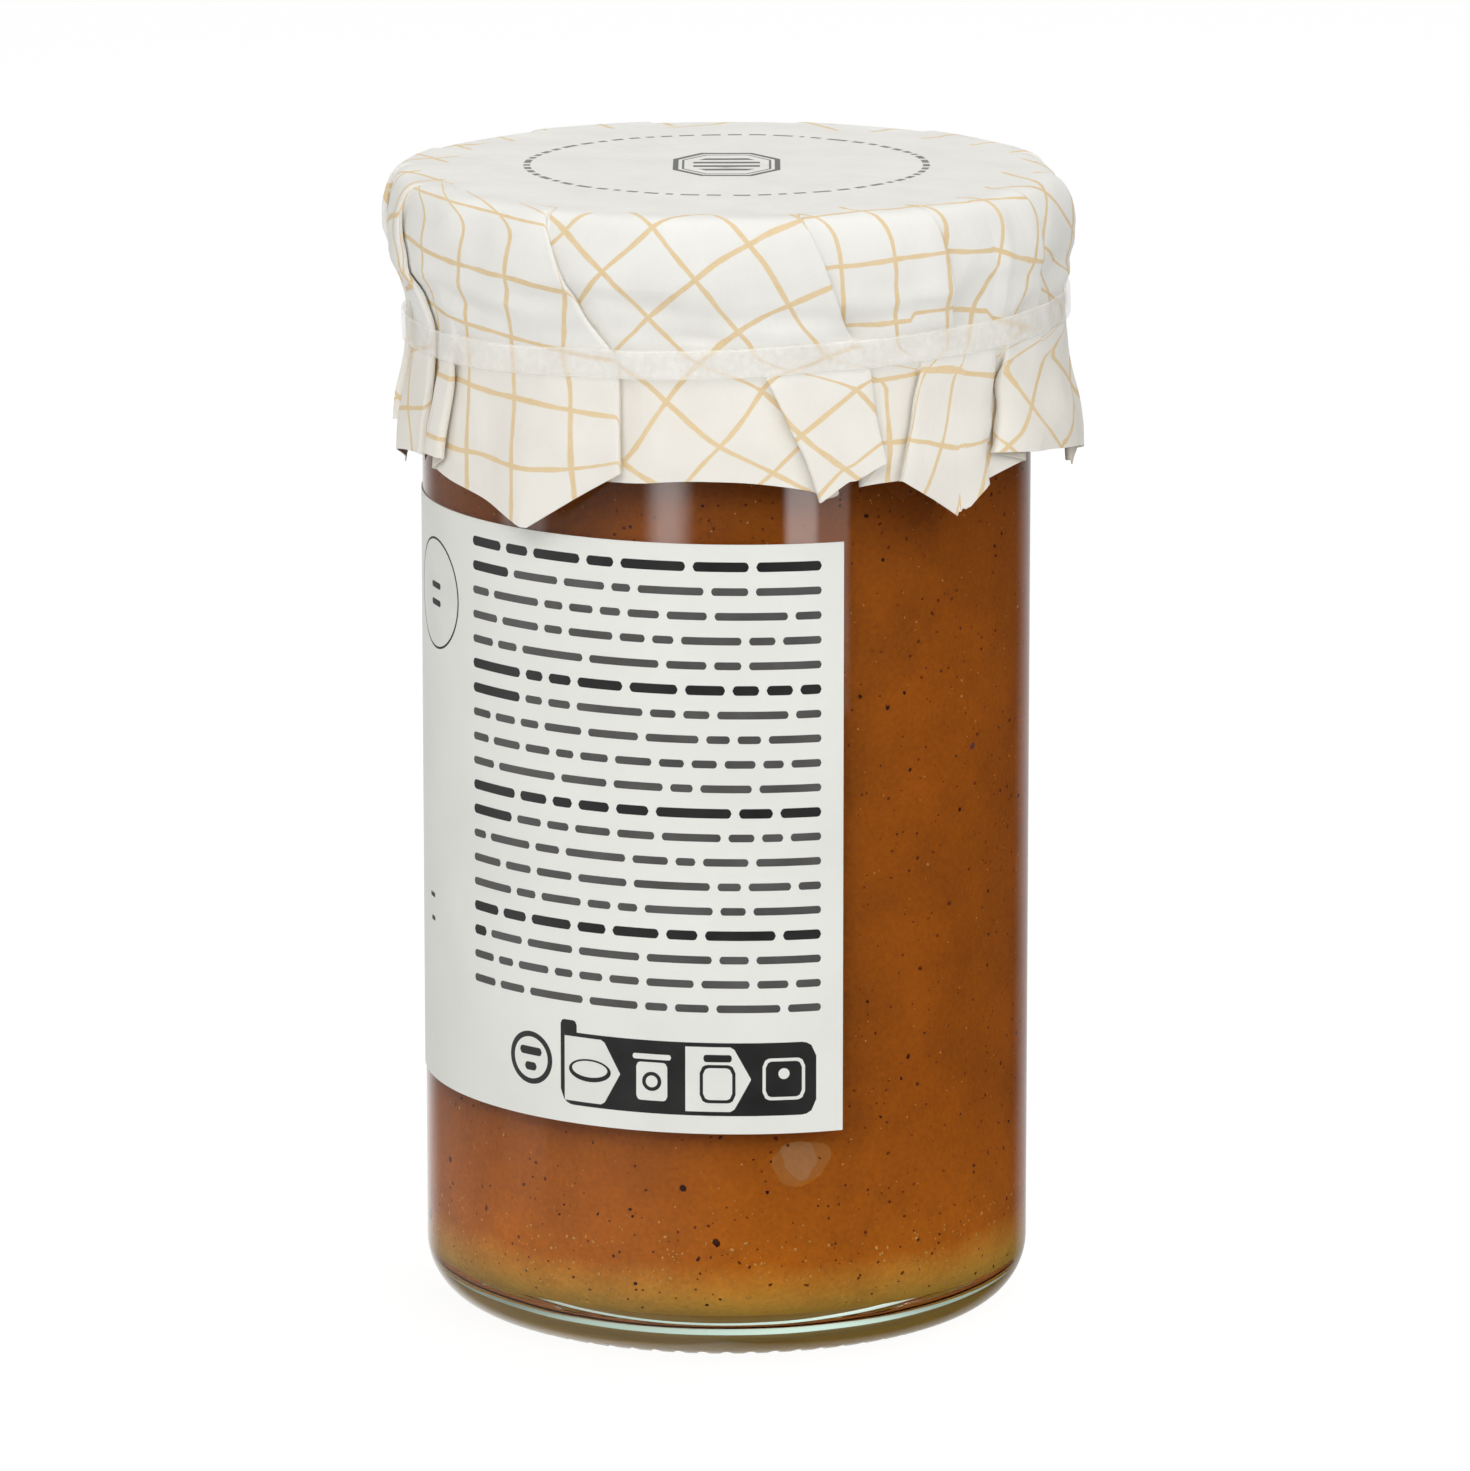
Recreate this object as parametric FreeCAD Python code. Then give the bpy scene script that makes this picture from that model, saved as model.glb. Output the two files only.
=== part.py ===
import FreeCAD, Part
import math
import os

# Jar of fruit curd: tall clear glass jar, metal twist lid, pleated octagonal paper cover
# held by a flat elastic band, and a paper label that wraps round the body.
# Units are millimetres. +Z is up, the origin is the centre of the circle the jar stands on,
# and the front of the jar faces -Y. Angles round the jar are degrees from the front,
# growing towards +X.

Vector = FreeCAD.Vector

# ---- driving dimensions: glass ----
TOTAL_HEIGHT = 125.0          # floor to the top of the paper
BODY_RADIUS = 33.0            # outside of the glass body
WALL = 2.5                    # glass wall of the body and the neck
HEEL_RADIUS = 6.6             # rounding at the foot
BEARING_WIDTH = 2.8           # flat ring that the jar stands on, inside the heel
PUSH_UP_HEIGHT = 2.4          # hollow under the foot
FLOOR_THICKNESS = 3.2         # glass between the push-up and the curd, at the axis
FLOOR_DROP = 0.7              # how far the inner floor falls towards its edge
INNER_CORNER_RADIUS = 5.0
SHOULDER_HEIGHT = 6.0         # small shoulder between the body and the neck
SHOULDER_INSET = 1.6          # how much smaller the radius of the neck is
NECK_HEIGHT = 17.25           # from the shoulder to the rim
RIM_ROUNDING = 0.9
KNURL_COUNT = 70              # small grooves round the bearing ring
KNURL_WIDTH = 1.25
KNURL_DEPTH = 0.75
KNURL_INSET = 0.9             # plain width of the ring left inside the grooves

# ---- driving dimensions: lid ----
THREAD_ROOM = 3.0             # between the neck and the skirt of the lid
LID_SKIRT = 10.4
LID_SHEET = 0.4
LID_EDGE_ROUNDING = 1.6
LID_CURL = 1.1                # rolled lower edge, turned inwards
LID_FIT = 0.05                # clearance between the lid and the paper on it

# ---- driving dimensions: label ----
LABEL_THICKNESS = 0.15
LABEL_ABOVE_HEEL = 19.3       # plain glass left under the label
LABEL_BELOW_SHOULDER = 11.1   # plain glass left over the label
LABEL_END_ANGLE = 22.0        # the edge seen at the front
LABEL_SPAN = 275.0            # it runs from that edge round by the -X side
LABEL_TILT = 0.56             # degrees, lower towards +X

# ---- driving dimensions: elastic band ----
BAND_WIDTH = 3.1
BAND_THICKNESS = 0.7
BAND_FIT = 0.12               # clearance between the band and the folds it holds
BAND_BELOW_LID = 4.55         # from the lower edge of the lid to the middle of the band
BAND_TILT = 2.2               # degrees, higher towards +X
BAND_SHIFT = 1.0              # the paper hangs over to +X here, and the band with it

# ---- driving dimensions: paper cover ----
PAPER = 0.3                   # thickness of the sheet
HEM_REACH = 3.17              # least length of paper past the meridian's last row
OCTAGON_TURN = 16.0           # flat angle from the first pleat to a corner
LAYER_GAP_TIGHT = 0.18        # air between folded layers from the rim to the band
LAYER_GAP_HEM = 0.45          # the same at the hem, where the folds spring open
FOLD_LEAD = 0.5               # straight stretch kept beside each fold
LEAST_DEPTH = 1.3             # a fold shallower than this is a step, not a fold
CLEAR_OF_FOLD = 0.8           # plain paper kept past the hidden part of a fold
CLEAR_AHEAD = 0.65            # plain paper kept in front of a fold
FLAT_HALF = 0.6               # half the width kept for a pleat where the paper is flat

# ---- levels and radii that follow from these ----
LID_TOP = TOTAL_HEIGHT - PAPER - LID_FIT
LID_BOTTOM = LID_TOP - LID_SKIRT
GLASS_RIM = LID_TOP - LID_SHEET
NECK_START = GLASS_RIM - NECK_HEIGHT
BODY_TOP = NECK_START - SHOULDER_HEIGHT
BAND_HEIGHT = LID_BOTTOM - BAND_BELOW_LID
LABEL_BOTTOM = HEEL_RADIUS + LABEL_ABOVE_HEEL
LABEL_HEIGHT = BODY_TOP - LABEL_BELOW_SHOULDER - LABEL_BOTTOM
BEARING_INNER_RADIUS = BODY_RADIUS - HEEL_RADIUS - BEARING_WIDTH
NECK_RADIUS = BODY_RADIUS - SHOULDER_INSET
LID_RADIUS = NECK_RADIUS + THREAD_ROOM + LID_SHEET

# Meridian of the lowest layer of paper: how far outside the lid's radius, height, and how
# far it hangs over to +X.
MERIDIAN_FROM_LID = (
    (-3.3, TOTAL_HEIGHT, 0.0),
    (-1.5, TOTAL_HEIGHT, 0.0),
    (0.5, TOTAL_HEIGHT - 0.45, 0.0),
    (1.35, TOTAL_HEIGHT - 2.3, 0.1),
    (1.95, TOTAL_HEIGHT - 5.2, 0.15),
    (1.65, LID_BOTTOM + 2.15, 0.25),
    (0.5, LID_BOTTOM - 0.85, 0.5),
    (0.05, BAND_HEIGHT + BAND_WIDTH / 2 + 0.35, 0.8),
    (-0.1, BAND_HEIGHT, BAND_SHIFT),
    (-0.1, BAND_HEIGHT - BAND_WIDTH / 2 - 0.65, 1.0),
    (0.0, BAND_HEIGHT - 4.9, 1.05),
    (0.6, BAND_HEIGHT - 8.4, 1.15),
    (1.1, BAND_HEIGHT - 11.2, 1.2),
)
MERIDIAN = tuple((LID_RADIUS + out, z, overhang) for out, z, overhang in MERIDIAN_FROM_LID)
HEM_FLARE = 0.05              # the free edge leans out by this much per mm of length
RIM_ROW = 4                   # rows of the meridian named by their place in the list
BAND_ROW = 8
LAST_ROW = len(MERIDIAN)      # the hem itself, one past the listed rows

# How each kind of pleat grows down the rows: 0 flat paper, 1 a step, 2 a full fold.
STATE_FULL = (0, 0, 0.4, 1.2, 2, 2, 2, 2, 2, 2, 2, 2, 2, 2)
STATE_ABOVE = (0, 0, 0.4, 1.2, 2, 1.5, 1, 0.5, 0, 0, 0, 0, 0, 0)
STATE_BELOW = (0, 0, 0, 0, 0, 0, 0, 0, 0.3, 1, 2, 2, 2, 2)

# Pleats in order round the cover: which panel lies on top (+1 the one before the fold,
# -1 the one after it), growth, angle of the fold at rim, band and hem, hidden depth at
# band and hem in mm, paper crushed out of sight at the hem in mm, and how far the hem is
# lifted in mm before the fold, at its visible crease and after it.
AS_CUT = (0.0, 0.0, 0.0)
PLEATS = (
    (+1, STATE_FULL, -94.0, -92.0, -90.0, 3.6, 6.4, 0.0, (1.0, 3.5, 2.5)),
    (+1, STATE_FULL, -70.0, -66.0, -66.0, 3.4, 5.6, 0.0, (2.2, 1.4, 1.2)),
    (+1, STATE_BELOW, -60.0, -57.5, -58.2, 2.0, 3.0, 0.0, (1.2, 1.5, 0.3)),
    (+1, STATE_FULL, -28.8, -20.5, -19.2, 4.5, 9.6, 0.0, (0.6, 4.1, 1.4)),
    (-1, STATE_BELOW, -4.0, 3.5, 13.4, 1.6, 2.2, 5.5, (5.3, 1.7, 3.1)),
    (+1, STATE_FULL, 16.0, 23.4, 25.2, 2.4, 2.6, 0.0, (2.8, 4.0, 1.2)),
    (-1, STATE_BELOW, 30.5, 34.4, 27.5, 2.4, 5.8, 9.2, (1.2, 3.5, 1.3)),
    (+1, STATE_ABOVE, 38.5, 43.0, 39.3, 2.4, 1.3, 0.0, (1.3, 1.9, 2.4)),
    (+1, STATE_BELOW, 49.5, 52.0, 46.1, 1.8, 2.6, 0.0, (2.6, 3.7, 1.5)),
    (-1, STATE_BELOW, 54.5, 55.2, 48.4, 1.8, 5.2, 0.0, (2.0, 2.85, 1.8)),
    (+1, STATE_ABOVE, 63.5, 66.0, 69.0, 2.4, 1.3, 0.0, (1.5, 1.5, 1.5)),
    (+1, STATE_FULL, 86.0, 88.0, 91.0, 3.6, 6.0, 0.0, (1.5, 2.1, 3.5)),
    (-1, STATE_FULL, 109.0, 108.0, 106.0, 3.8, 6.6, 0.0, AS_CUT),
    (+1, STATE_FULL, 141.0, 143.0, 146.0, 3.8, 6.6, 0.0, AS_CUT),
    (+1, STATE_FULL, 168.0, 171.0, 171.0, 3.6, 6.2, 0.0, AS_CUT),
    (-1, STATE_FULL, 193.0, 190.0, 188.0, 3.8, 6.4, 0.0, AS_CUT),
    (+1, STATE_FULL, 219.0, 222.0, 224.0, 3.8, 6.6, 0.0, AS_CUT),
    (-1, STATE_FULL, 245.0, 243.0, 242.0, 3.6, 6.4, 0.0, AS_CUT),
)
# For each pole of a fold, from the panel on top inwards: its share of the lift beside that
# panel and of the lift at the crease. The rest is the lift beyond the fold.
LIFT_SHARES = (
    (0.95, 0.05), (0.1, 0.9), (0.0, 1.0), (0.0, 1.0), (0.0, 0.9),
    (0.0, 0.2), (0.0, 0.0), (0.0, 0.0), (0.0, 0.0), (0.0, 0.0),
)
# Share of the hem's lift that the rows above it follow: the hem first, then upwards.
LIFT_BY_ROW = (1.0, 0.4, 0.12)


def polar(radius, degrees, height, overhang=0.0):
    """A point at an angle from the front, growing towards +X."""
    a = math.radians(degrees)
    return Vector(radius * math.sin(a) + overhang, -radius * math.cos(a), height)


def line(p, q):
    """A straight edge of a profile in the XZ plane."""
    return Part.makeLine(Vector(p[0], 0, p[1]), Vector(q[0], 0, q[1]))


def arc(p, middle, q):
    """A circular edge of a profile in the XZ plane, through three points."""
    points = [Vector(x, 0, z) for x, z in (p, middle, q)]
    return Part.Arc(*points).toShape()


def dome(apex, edge_radius, edge_height):
    """Profile of a spherical cap centred on the axis, from its apex to its edge."""
    drop = apex - edge_height
    sphere = (edge_radius ** 2 + drop ** 2) / (2 * drop)
    half = edge_radius / 2
    middle = apex - sphere + math.sqrt(sphere ** 2 - half ** 2)
    return arc((0, apex), (half, middle), (edge_radius, edge_height))


def revolve(edges):
    """A full turn of a closed profile round the axis of the jar."""
    face = Part.Face(Part.Wire(Part.__sortEdges__(edges)))
    return face.revolve(Vector(0, 0, 0), Vector(0, 0, 1), 360)


def rounding(centre, radius, start, end):
    """A circular edge of a profile, between two angles in degrees from +X."""
    points = []
    for share in (0.0, 0.5, 1.0):
        t = math.radians(start + (end - start) * share)
        points.append((centre[0] + radius * math.cos(t), centre[1] + radius * math.sin(t)))
    return arc(*points)


# ---- glass and curd ----

def floor_apex():
    """Height of the inner floor at the axis."""
    return PUSH_UP_HEIGHT + FLOOR_THICKNESS


def floor_edge():
    """Where the domed inner floor meets the corner rounding."""
    return BODY_RADIUS - WALL - INNER_CORNER_RADIUS, floor_apex() - FLOOR_DROP


def corner_edge():
    """Rounding between the inner floor and the inner wall."""
    radius, height = floor_edge()
    return rounding((radius, height + INNER_CORNER_RADIUS), INNER_CORNER_RADIUS, -90, 0)


def inner_wall_foot():
    """Where the straight inner wall starts."""
    return BODY_RADIUS - WALL, floor_edge()[1] + INNER_CORNER_RADIUS


def shoulder(radius_low, radius_high):
    """An S-shaped pair of arcs from the body to the neck."""
    half_r = (radius_low + radius_high) / 2
    half_z = (BODY_TOP + NECK_START) / 2
    bulge = (radius_low - radius_high) / 8
    quarter_z = (NECK_START - BODY_TOP) / 4
    low = (half_r + 3 * bulge, BODY_TOP + quarter_z)
    high = (half_r - 3 * bulge, NECK_START - quarter_z)
    return (
        arc((radius_low, BODY_TOP), low, (half_r, half_z)),
        arc((half_r, half_z), high, (radius_high, NECK_START)),
    )


def make_knurls():
    """Cutters for the grooves round the bearing ring."""
    half = KNURL_WIDTH / 2
    radius = (half ** 2 + KNURL_DEPTH ** 2) / (2 * KNURL_DEPTH)
    inner = BEARING_INNER_RADIUS + KNURL_INSET
    start = Vector(inner, 0, KNURL_DEPTH - radius)
    cutters = []
    for i in range(KNURL_COUNT):
        cutter = Part.makeCylinder(radius, BODY_RADIUS - inner, start, Vector(1, 0, 0))
        cutter.rotate(Vector(0, 0, 0), Vector(0, 0, 1), 360.0 * i / KNURL_COUNT)
        cutters.append(cutter)
    return cutters


def make_glass():
    """Jar with a pushed-up foot, a knurled bearing ring, a small shoulder and a plain neck."""
    wall_foot = inner_wall_foot()
    neck_inner = NECK_RADIUS - WALL
    rim = GLASS_RIM
    heel_centre = (BODY_RADIUS - HEEL_RADIUS, HEEL_RADIUS)
    outer_low, outer_high = shoulder(BODY_RADIUS, NECK_RADIUS)
    inner_low, inner_high = shoulder(BODY_RADIUS - WALL, neck_inner)
    rim_foot = rim - RIM_ROUNDING
    edges = [
        dome(PUSH_UP_HEIGHT, BEARING_INNER_RADIUS, 0),
        line((BEARING_INNER_RADIUS, 0), (heel_centre[0], 0)),
        rounding(heel_centre, HEEL_RADIUS, -90, 0),
        line((BODY_RADIUS, HEEL_RADIUS), (BODY_RADIUS, BODY_TOP)),
        outer_low,
        outer_high,
        line((NECK_RADIUS, NECK_START), (NECK_RADIUS, rim_foot)),
        rounding((NECK_RADIUS - RIM_ROUNDING, rim_foot), RIM_ROUNDING, 0, 90),
        line((NECK_RADIUS - RIM_ROUNDING, rim), (neck_inner + RIM_ROUNDING, rim)),
        rounding((neck_inner + RIM_ROUNDING, rim_foot), RIM_ROUNDING, 90, 180),
        line((neck_inner, rim_foot), (neck_inner, NECK_START)),
        inner_high,
        inner_low,
        line((BODY_RADIUS - WALL, BODY_TOP), wall_foot),
        corner_edge(),
        dome(floor_apex(), *floor_edge()),
        line((0, floor_apex()), (0, PUSH_UP_HEIGHT)),
    ]
    return revolve(edges).cut(make_knurls()).Solids[0]


def make_curd():
    """The filling, face to face with the glass, up to its level half-way up the shoulder."""
    wall_foot = inner_wall_foot()
    wall_head = (BODY_RADIUS - WALL, BODY_TOP)
    shoulder_edge = shoulder(BODY_RADIUS - WALL, NECK_RADIUS - WALL)[0]
    level = (BODY_TOP + NECK_START) / 2
    brim = ((BODY_RADIUS + NECK_RADIUS) / 2 - WALL, level)
    edges = [
        dome(floor_apex(), *floor_edge()),
        corner_edge(),
        line(wall_foot, wall_head),
        shoulder_edge,
        line(brim, (0, level)),
        line((0, level), (0, floor_apex())),
    ]
    return revolve(edges)


# ---- lid, label, band ----

def make_lid():
    """Plain metal twist lid with a rounded edge and a rolled lower edge."""
    top, bottom = LID_TOP, LID_BOTTOM
    r = LID_EDGE_ROUNDING
    inner = LID_RADIUS - LID_SHEET
    edges = [
        line((0, top), (LID_RADIUS - r, top)),
        rounding((LID_RADIUS - r, top - r), r, 90, 0),
        line((LID_RADIUS, top - r), (LID_RADIUS, bottom + LID_CURL)),
        rounding((LID_RADIUS - LID_CURL, bottom + LID_CURL), LID_CURL, 0, -180),
        line((LID_RADIUS - 2 * LID_CURL, bottom + LID_CURL), (inner, bottom + 2 * LID_CURL)),
        line((inner, bottom + 2 * LID_CURL), (inner, top - r)),
        rounding((LID_RADIUS - r, top - r), r - LID_SHEET, 0, 90),
        line((LID_RADIUS - r, top - LID_SHEET), (0, top - LID_SHEET)),
        line((0, top - LID_SHEET), (0, top)),
    ]
    return revolve(edges)


def make_label():
    """A sheet round the body, trimmed square to a slightly tilted line."""
    start = LABEL_END_ANGLE - LABEL_SPAN
    margin = 2 * BODY_RADIUS * math.sin(math.radians(LABEL_TILT))
    low = LABEL_BOTTOM - margin
    height = LABEL_HEIGHT + 2 * margin
    outer = BODY_RADIUS + LABEL_THICKNESS
    profile = Part.makePolygon([
        Vector(BODY_RADIUS, 0, low),
        Vector(outer, 0, low),
        Vector(outer, 0, low + height),
        Vector(BODY_RADIUS, 0, low + height),
        Vector(BODY_RADIUS, 0, low),
    ])
    # The profile starts at +X, which is 90 degrees from the front.
    sheet = Part.Face(profile).revolve(Vector(0, 0, 0), Vector(0, 0, 1), LABEL_SPAN)
    sheet.rotate(Vector(0, 0, 0), Vector(0, 0, 1), start - 90)
    half = 2 * BODY_RADIUS
    trim = Part.makeBox(2 * half, 2 * half, LABEL_HEIGHT, Vector(-half, -half, LABEL_BOTTOM))
    pivot = Vector(0, 0, LABEL_BOTTOM + LABEL_HEIGHT / 2)
    trim.rotate(pivot, Vector(0, 1, 0), LABEL_TILT)
    return sheet.common(trim).Solids[0]


def layer_heights(row):
    """Height above the lowest layer of the top and the middle layer of a fold."""
    blend = max(0.0, (row - BAND_ROW) / (LAST_ROW - BAND_ROW))
    gap = LAYER_GAP_TIGHT + (LAYER_GAP_HEM - LAYER_GAP_TIGHT) * blend
    return 2 * (gap + PAPER), gap


def make_band():
    """Flat elastic band stretched over the pleats, with rounded long edges."""
    inner = MERIDIAN[BAND_ROW][0] + layer_heights(BAND_ROW)[0] + BAND_FIT
    outer = inner + BAND_THICKNESS
    r = BAND_THICKNESS / 2
    half = BAND_WIDTH / 2
    edges = [
        line((inner, -half + r), (inner, half - r)),
        rounding((inner + r, half - r), r, 180, 0),
        line((outer, half - r), (outer, -half + r)),
        rounding((inner + r, -half + r), r, 0, -180),
    ]
    band = revolve(edges)
    band.rotate(Vector(0, 0, 0), Vector(0, 1, 0), -BAND_TILT)
    band.translate(Vector(BAND_SHIFT, 0, BAND_HEIGHT))
    return band


# ---- pleated paper cover ----

def row_frame(row):
    """Radius, height, overhang and outward normal of the lowest layer at a meridian row."""
    if row < 2:
        return MERIDIAN[row] + (0.0, 1.0)
    row = min(row, len(MERIDIAN) - 1)
    before = MERIDIAN[row - 1]
    after = MERIDIAN[min(row + 1, len(MERIDIAN) - 1)]
    run, rise = after[0] - before[0], after[1] - before[1]
    length = math.hypot(run, rise)
    return MERIDIAN[row] + (-rise / length, run / length)


def flat_radius(row):
    """Distance from the centre of the flat sheet, measured along the meridian."""
    total = MERIDIAN[0][0]
    for low, high in zip(MERIDIAN[:row], MERIDIAN[1:row + 1]):
        total += math.hypot(high[0] - low[0], high[1] - low[1])
    return total


def along(row, at_rim, at_band, at_hem):
    """Value at a row from its values at the rim, the band and the hem."""
    if row <= BAND_ROW:
        share = (row - RIM_ROW) / (BAND_ROW - RIM_ROW)
        return at_rim + (at_band - at_rim) * max(share, -0.4)
    share = (row - BAND_ROW) / (LAST_ROW - BAND_ROW)
    return at_band + (at_hem - at_band) * share


def fold_poles(state, depth, row):
    """Ten (s, h, ds, dh) poles across a fold whose earlier panel lies on top.

    s runs round the jar from the fold, h outwards from the lowest layer, and
    (ds, dh) leads from the outer skin to the inner skin of the sheet."""
    top, mid = layer_heights(row)
    t, lead, ahead = PAPER, FOLD_LEAD, CLEAR_AHEAD
    back = -max(depth, LEAST_DEPTH)
    flat = [(FLAT_HALF * (2 * i / 9 - 1), 0, 0, -t) for i in range(10)]
    step = [
        (-lead - CLEAR_OF_FOLD, top, 0, -t), (-lead, top, 0, -t), (0, top, -t, -t),
        (0, top * 0.8, -t, 0), (0, top * 0.6, -t, 0), (0, top * 0.4, -t, 0),
        (0, top * 0.2, -t, 0), (0, 0, -t, -t), (lead, 0, 0, -t), (ahead, 0, 0, -t),
    ]
    fold = [
        (back - CLEAR_OF_FOLD, top, 0, -t), (-lead, top, 0, -t), (0, top, -t, -t),
        (0, mid, -t, t), (-lead, mid, 0, t), (back + lead, mid, 0, t),
        (back, mid, -t, t), (back, 0, -t, -t), (back + lead, 0, 0, -t), (ahead, 0, 0, -t),
    ]
    low, high, share = (flat, step, state) if state < 1 else (step, fold, state - 1)
    return [tuple(a + (b - a) * share for a, b in zip(p, q)) for p, q in zip(low, high)]


def fold_lifts(index, row):
    """Lift of each of the ten poles of a fold at a row."""
    up = LAST_ROW - row
    reach = LIFT_BY_ROW[up] if up < len(LIFT_BY_ROW) else 0.0
    sense, lifts = PLEATS[index][0], PLEATS[index][8]
    beside, crease, beyond = lifts if sense > 0 else lifts[::-1]
    return [
        reach * (p * beside + q * crease + (1 - p - q) * beyond) for p, q in LIFT_SHARES
    ]


def pleat_poles(index, row):
    """Poles of one pleat at a row, as [degrees, h, degrees to the inner skin, dh, lift]."""
    sense, states, at_rim, at_band, at_hem, depth_band, depth_hem = PLEATS[index][:7]
    angle = along(row, at_rim, at_band, at_hem)
    depth = along(row, LEAST_DEPTH, depth_band, depth_hem)
    poles = [
        (s, h, ds, dh, lift)
        for (s, h, ds, dh), lift in zip(fold_poles(states[row], depth, row), fold_lifts(index, row))
    ]
    if sense < 0:
        poles = [(-s, h, -ds, dh, up) for s, h, ds, dh, up in reversed(poles)]
    scale = math.degrees(1.0 / row_frame(row)[0])
    return [[angle + s * scale, h, ds * scale, dh, up] for s, h, ds, dh, up in poles]


def level_flat_pleats(pleats, row):
    """Carry a pleat that is still flat at the level of the panels on either side of it."""
    count = len(pleats)
    for i, pleat in enumerate(pleats):
        state = PLEATS[i][1][row]
        if state < 1:
            level = (pleats[i - 1][-1][1] + pleats[(i + 1) % count][0][1]) / 2
            for pole in pleat:
                pole[1] += level * (1 - state)


def ring_poles(row):
    """All poles round a row and the place of each pleat's first pole."""
    pleats = [pleat_poles(i, row) for i in range(len(PLEATS))]
    level_flat_pleats(pleats, row)
    ring, starts = [], []
    for i, pleat in enumerate(pleats):
        starts.append(len(ring))
        ring.extend(pleat)
        turn = 360.0 if i + 1 == len(pleats) else 0.0
        end, start = pleat[-1], pleats[(i + 1) % len(pleats)][0]
        gap = start[0] + turn - end[0]
        for share in (0.25, 0.75):
            h = end[1] + (start[1] - end[1]) * share
            lift = end[4] + (start[4] - end[4]) * share
            ring.append([end[0] + gap * share, h, 0, -PAPER, lift])
    return ring, starts


def flat_angles(row):
    """Angle on the flat sheet of every pole of a row, from the length of paper between them."""
    radius = row_frame(row)[0]
    ring, starts = ring_poles(row)
    lengths = [0.0]
    for i, (p, q) in enumerate(zip(ring, ring[1:] + ring[:1])):
        turn = 360.0 if i + 1 == len(ring) else 0.0
        lengths.append(lengths[-1] + math.radians(abs(q[0] + turn - p[0])) * radius)
        if i - 4 in starts:
            crushed = PLEATS[starts.index(i - 4)][7]
            lengths[-1] += crushed
    return [length / lengths[-1] * 360.0 for length in lengths[:-1]]


def octagon_radius(flat_degrees):
    """Distance from the centre of the flat sheet to its edge."""
    turned = (flat_degrees - OCTAGON_TURN) % 45.0 - 22.5
    apothem = flat_radius(LAST_ROW - 1) + HEM_REACH
    return apothem / math.cos(math.radians(turned))


def skin_points(row):
    """Outer and inner skin points round one row."""
    radius, height, overhang, nr, nz = row_frame(row)
    ring = ring_poles(row)[0]
    drops = [0.0] * len(ring)
    if row == LAST_ROW:
        reach = flat_radius(row - 1)
        drops = [octagon_radius(a) - reach for a in flat_angles(row)]
    outer, inner = [], []
    for (angle, h, da, dh, lift), drop in zip(ring, drops):
        r = radius + (drop - lift) * HEM_FLARE
        z = height - drop + lift
        outer.append(polar(r + h * nr, angle, z + h * nz, overhang))
        inner.append(polar(r + (h + dh) * nr, angle + da, z + (h + dh) * nz, overhang))
    return outer, inner


def sector_rows(points, starts):
    """Cut a closed row into sectors that meet at the middle of each panel."""
    ends = starts[1:] + [len(points)]
    sectors = []
    for start, end in zip(starts, ends):
        before = (points[start - 1] + points[start - 2]) / 2
        after = (points[end - 1] + points[end - 2]) / 2
        sectors.append([before, points[start - 1]] + points[start:end - 1] + [after])
    return sectors


def clamped(count, degree):
    """Knots and multiplicities of a clamped uniform B-spline."""
    spans = count - degree
    mults = [degree + 1] + [1] * (spans - 1) + [degree + 1]
    return mults, [float(i) for i in range(spans + 1)]


def spline_face(grid, degree_v):
    """A face from a grid of poles, quadratic along its first direction."""
    mults_u, knots_u = clamped(len(grid), 2)
    mults_v, knots_v = clamped(len(grid[0]), degree_v)
    surface = Part.BSplineSurface()
    surface.buildFromPolesMultsKnots(
        grid, mults_u, mults_v, knots_u, knots_v, False, False, 2, degree_v)
    return surface.toShape()


def spline_edge(points):
    """The quadratic curve along one row of poles."""
    mults, knots = clamped(len(points), 2)
    curve = Part.BSplineCurve()
    curve.buildFromPolesMultsKnots(points, mults, knots, False, 2)
    return curve.toShape()


def make_cover():
    """Octagonal sheet of paper folded over the lid and gathered into pleats."""
    rows = range(LAST_ROW + 1)
    starts = ring_poles(0)[1]
    skins = [skin_points(row) for row in rows]
    outer = [sector_rows(skin[0], starts) for skin in skins]
    inner = [sector_rows(skin[1], starts) for skin in skins]
    faces = []
    for i in range(len(PLEATS)):
        outside = [row[i] for row in outer]
        inside = [row[i] for row in inner]
        faces.append(spline_face([list(column) for column in zip(*outside)], 2))
        faces.append(spline_face([list(column) for column in zip(*inside)], 2))
        faces.append(spline_face([list(pair) for pair in zip(outside[-1], inside[-1])], 1))
    for skin in (outer, inner):
        rim = [spline_edge(sector) for sector in skin[0]]
        faces.append(Part.Face(Part.Wire(rim)))
    sheet = Part.Compound(faces)
    sheet.sewShape(1e-4)
    solid = Part.Solid(Part.Shell(sheet.Faces))
    if solid.Volume < 0:
        solid.reverse()
    return solid


NODES = {
    "glass_jar": make_glass,
    "curd": make_curd,
    "lid": make_lid,
    "paper_cover": make_cover,
    "elastic_band": make_band,
    "label": make_label,
}


def main():
    os.makedirs("parts", exist_ok=True)
    for name, make in NODES.items():
        shape = make()
        shape.exportStep("parts/" + name + ".step")
        box = shape.BoundBox
        print(name, shape.ShapeType, shape.isValid(), round(shape.Volume, 1),
              [round(v, 2) for v in (box.XMin, box.XMax, box.YMin, box.YMax, box.ZMin, box.ZMax)])


main()
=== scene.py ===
import math
import random

import bpy
import numpy as np
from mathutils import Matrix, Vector, noise


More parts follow.
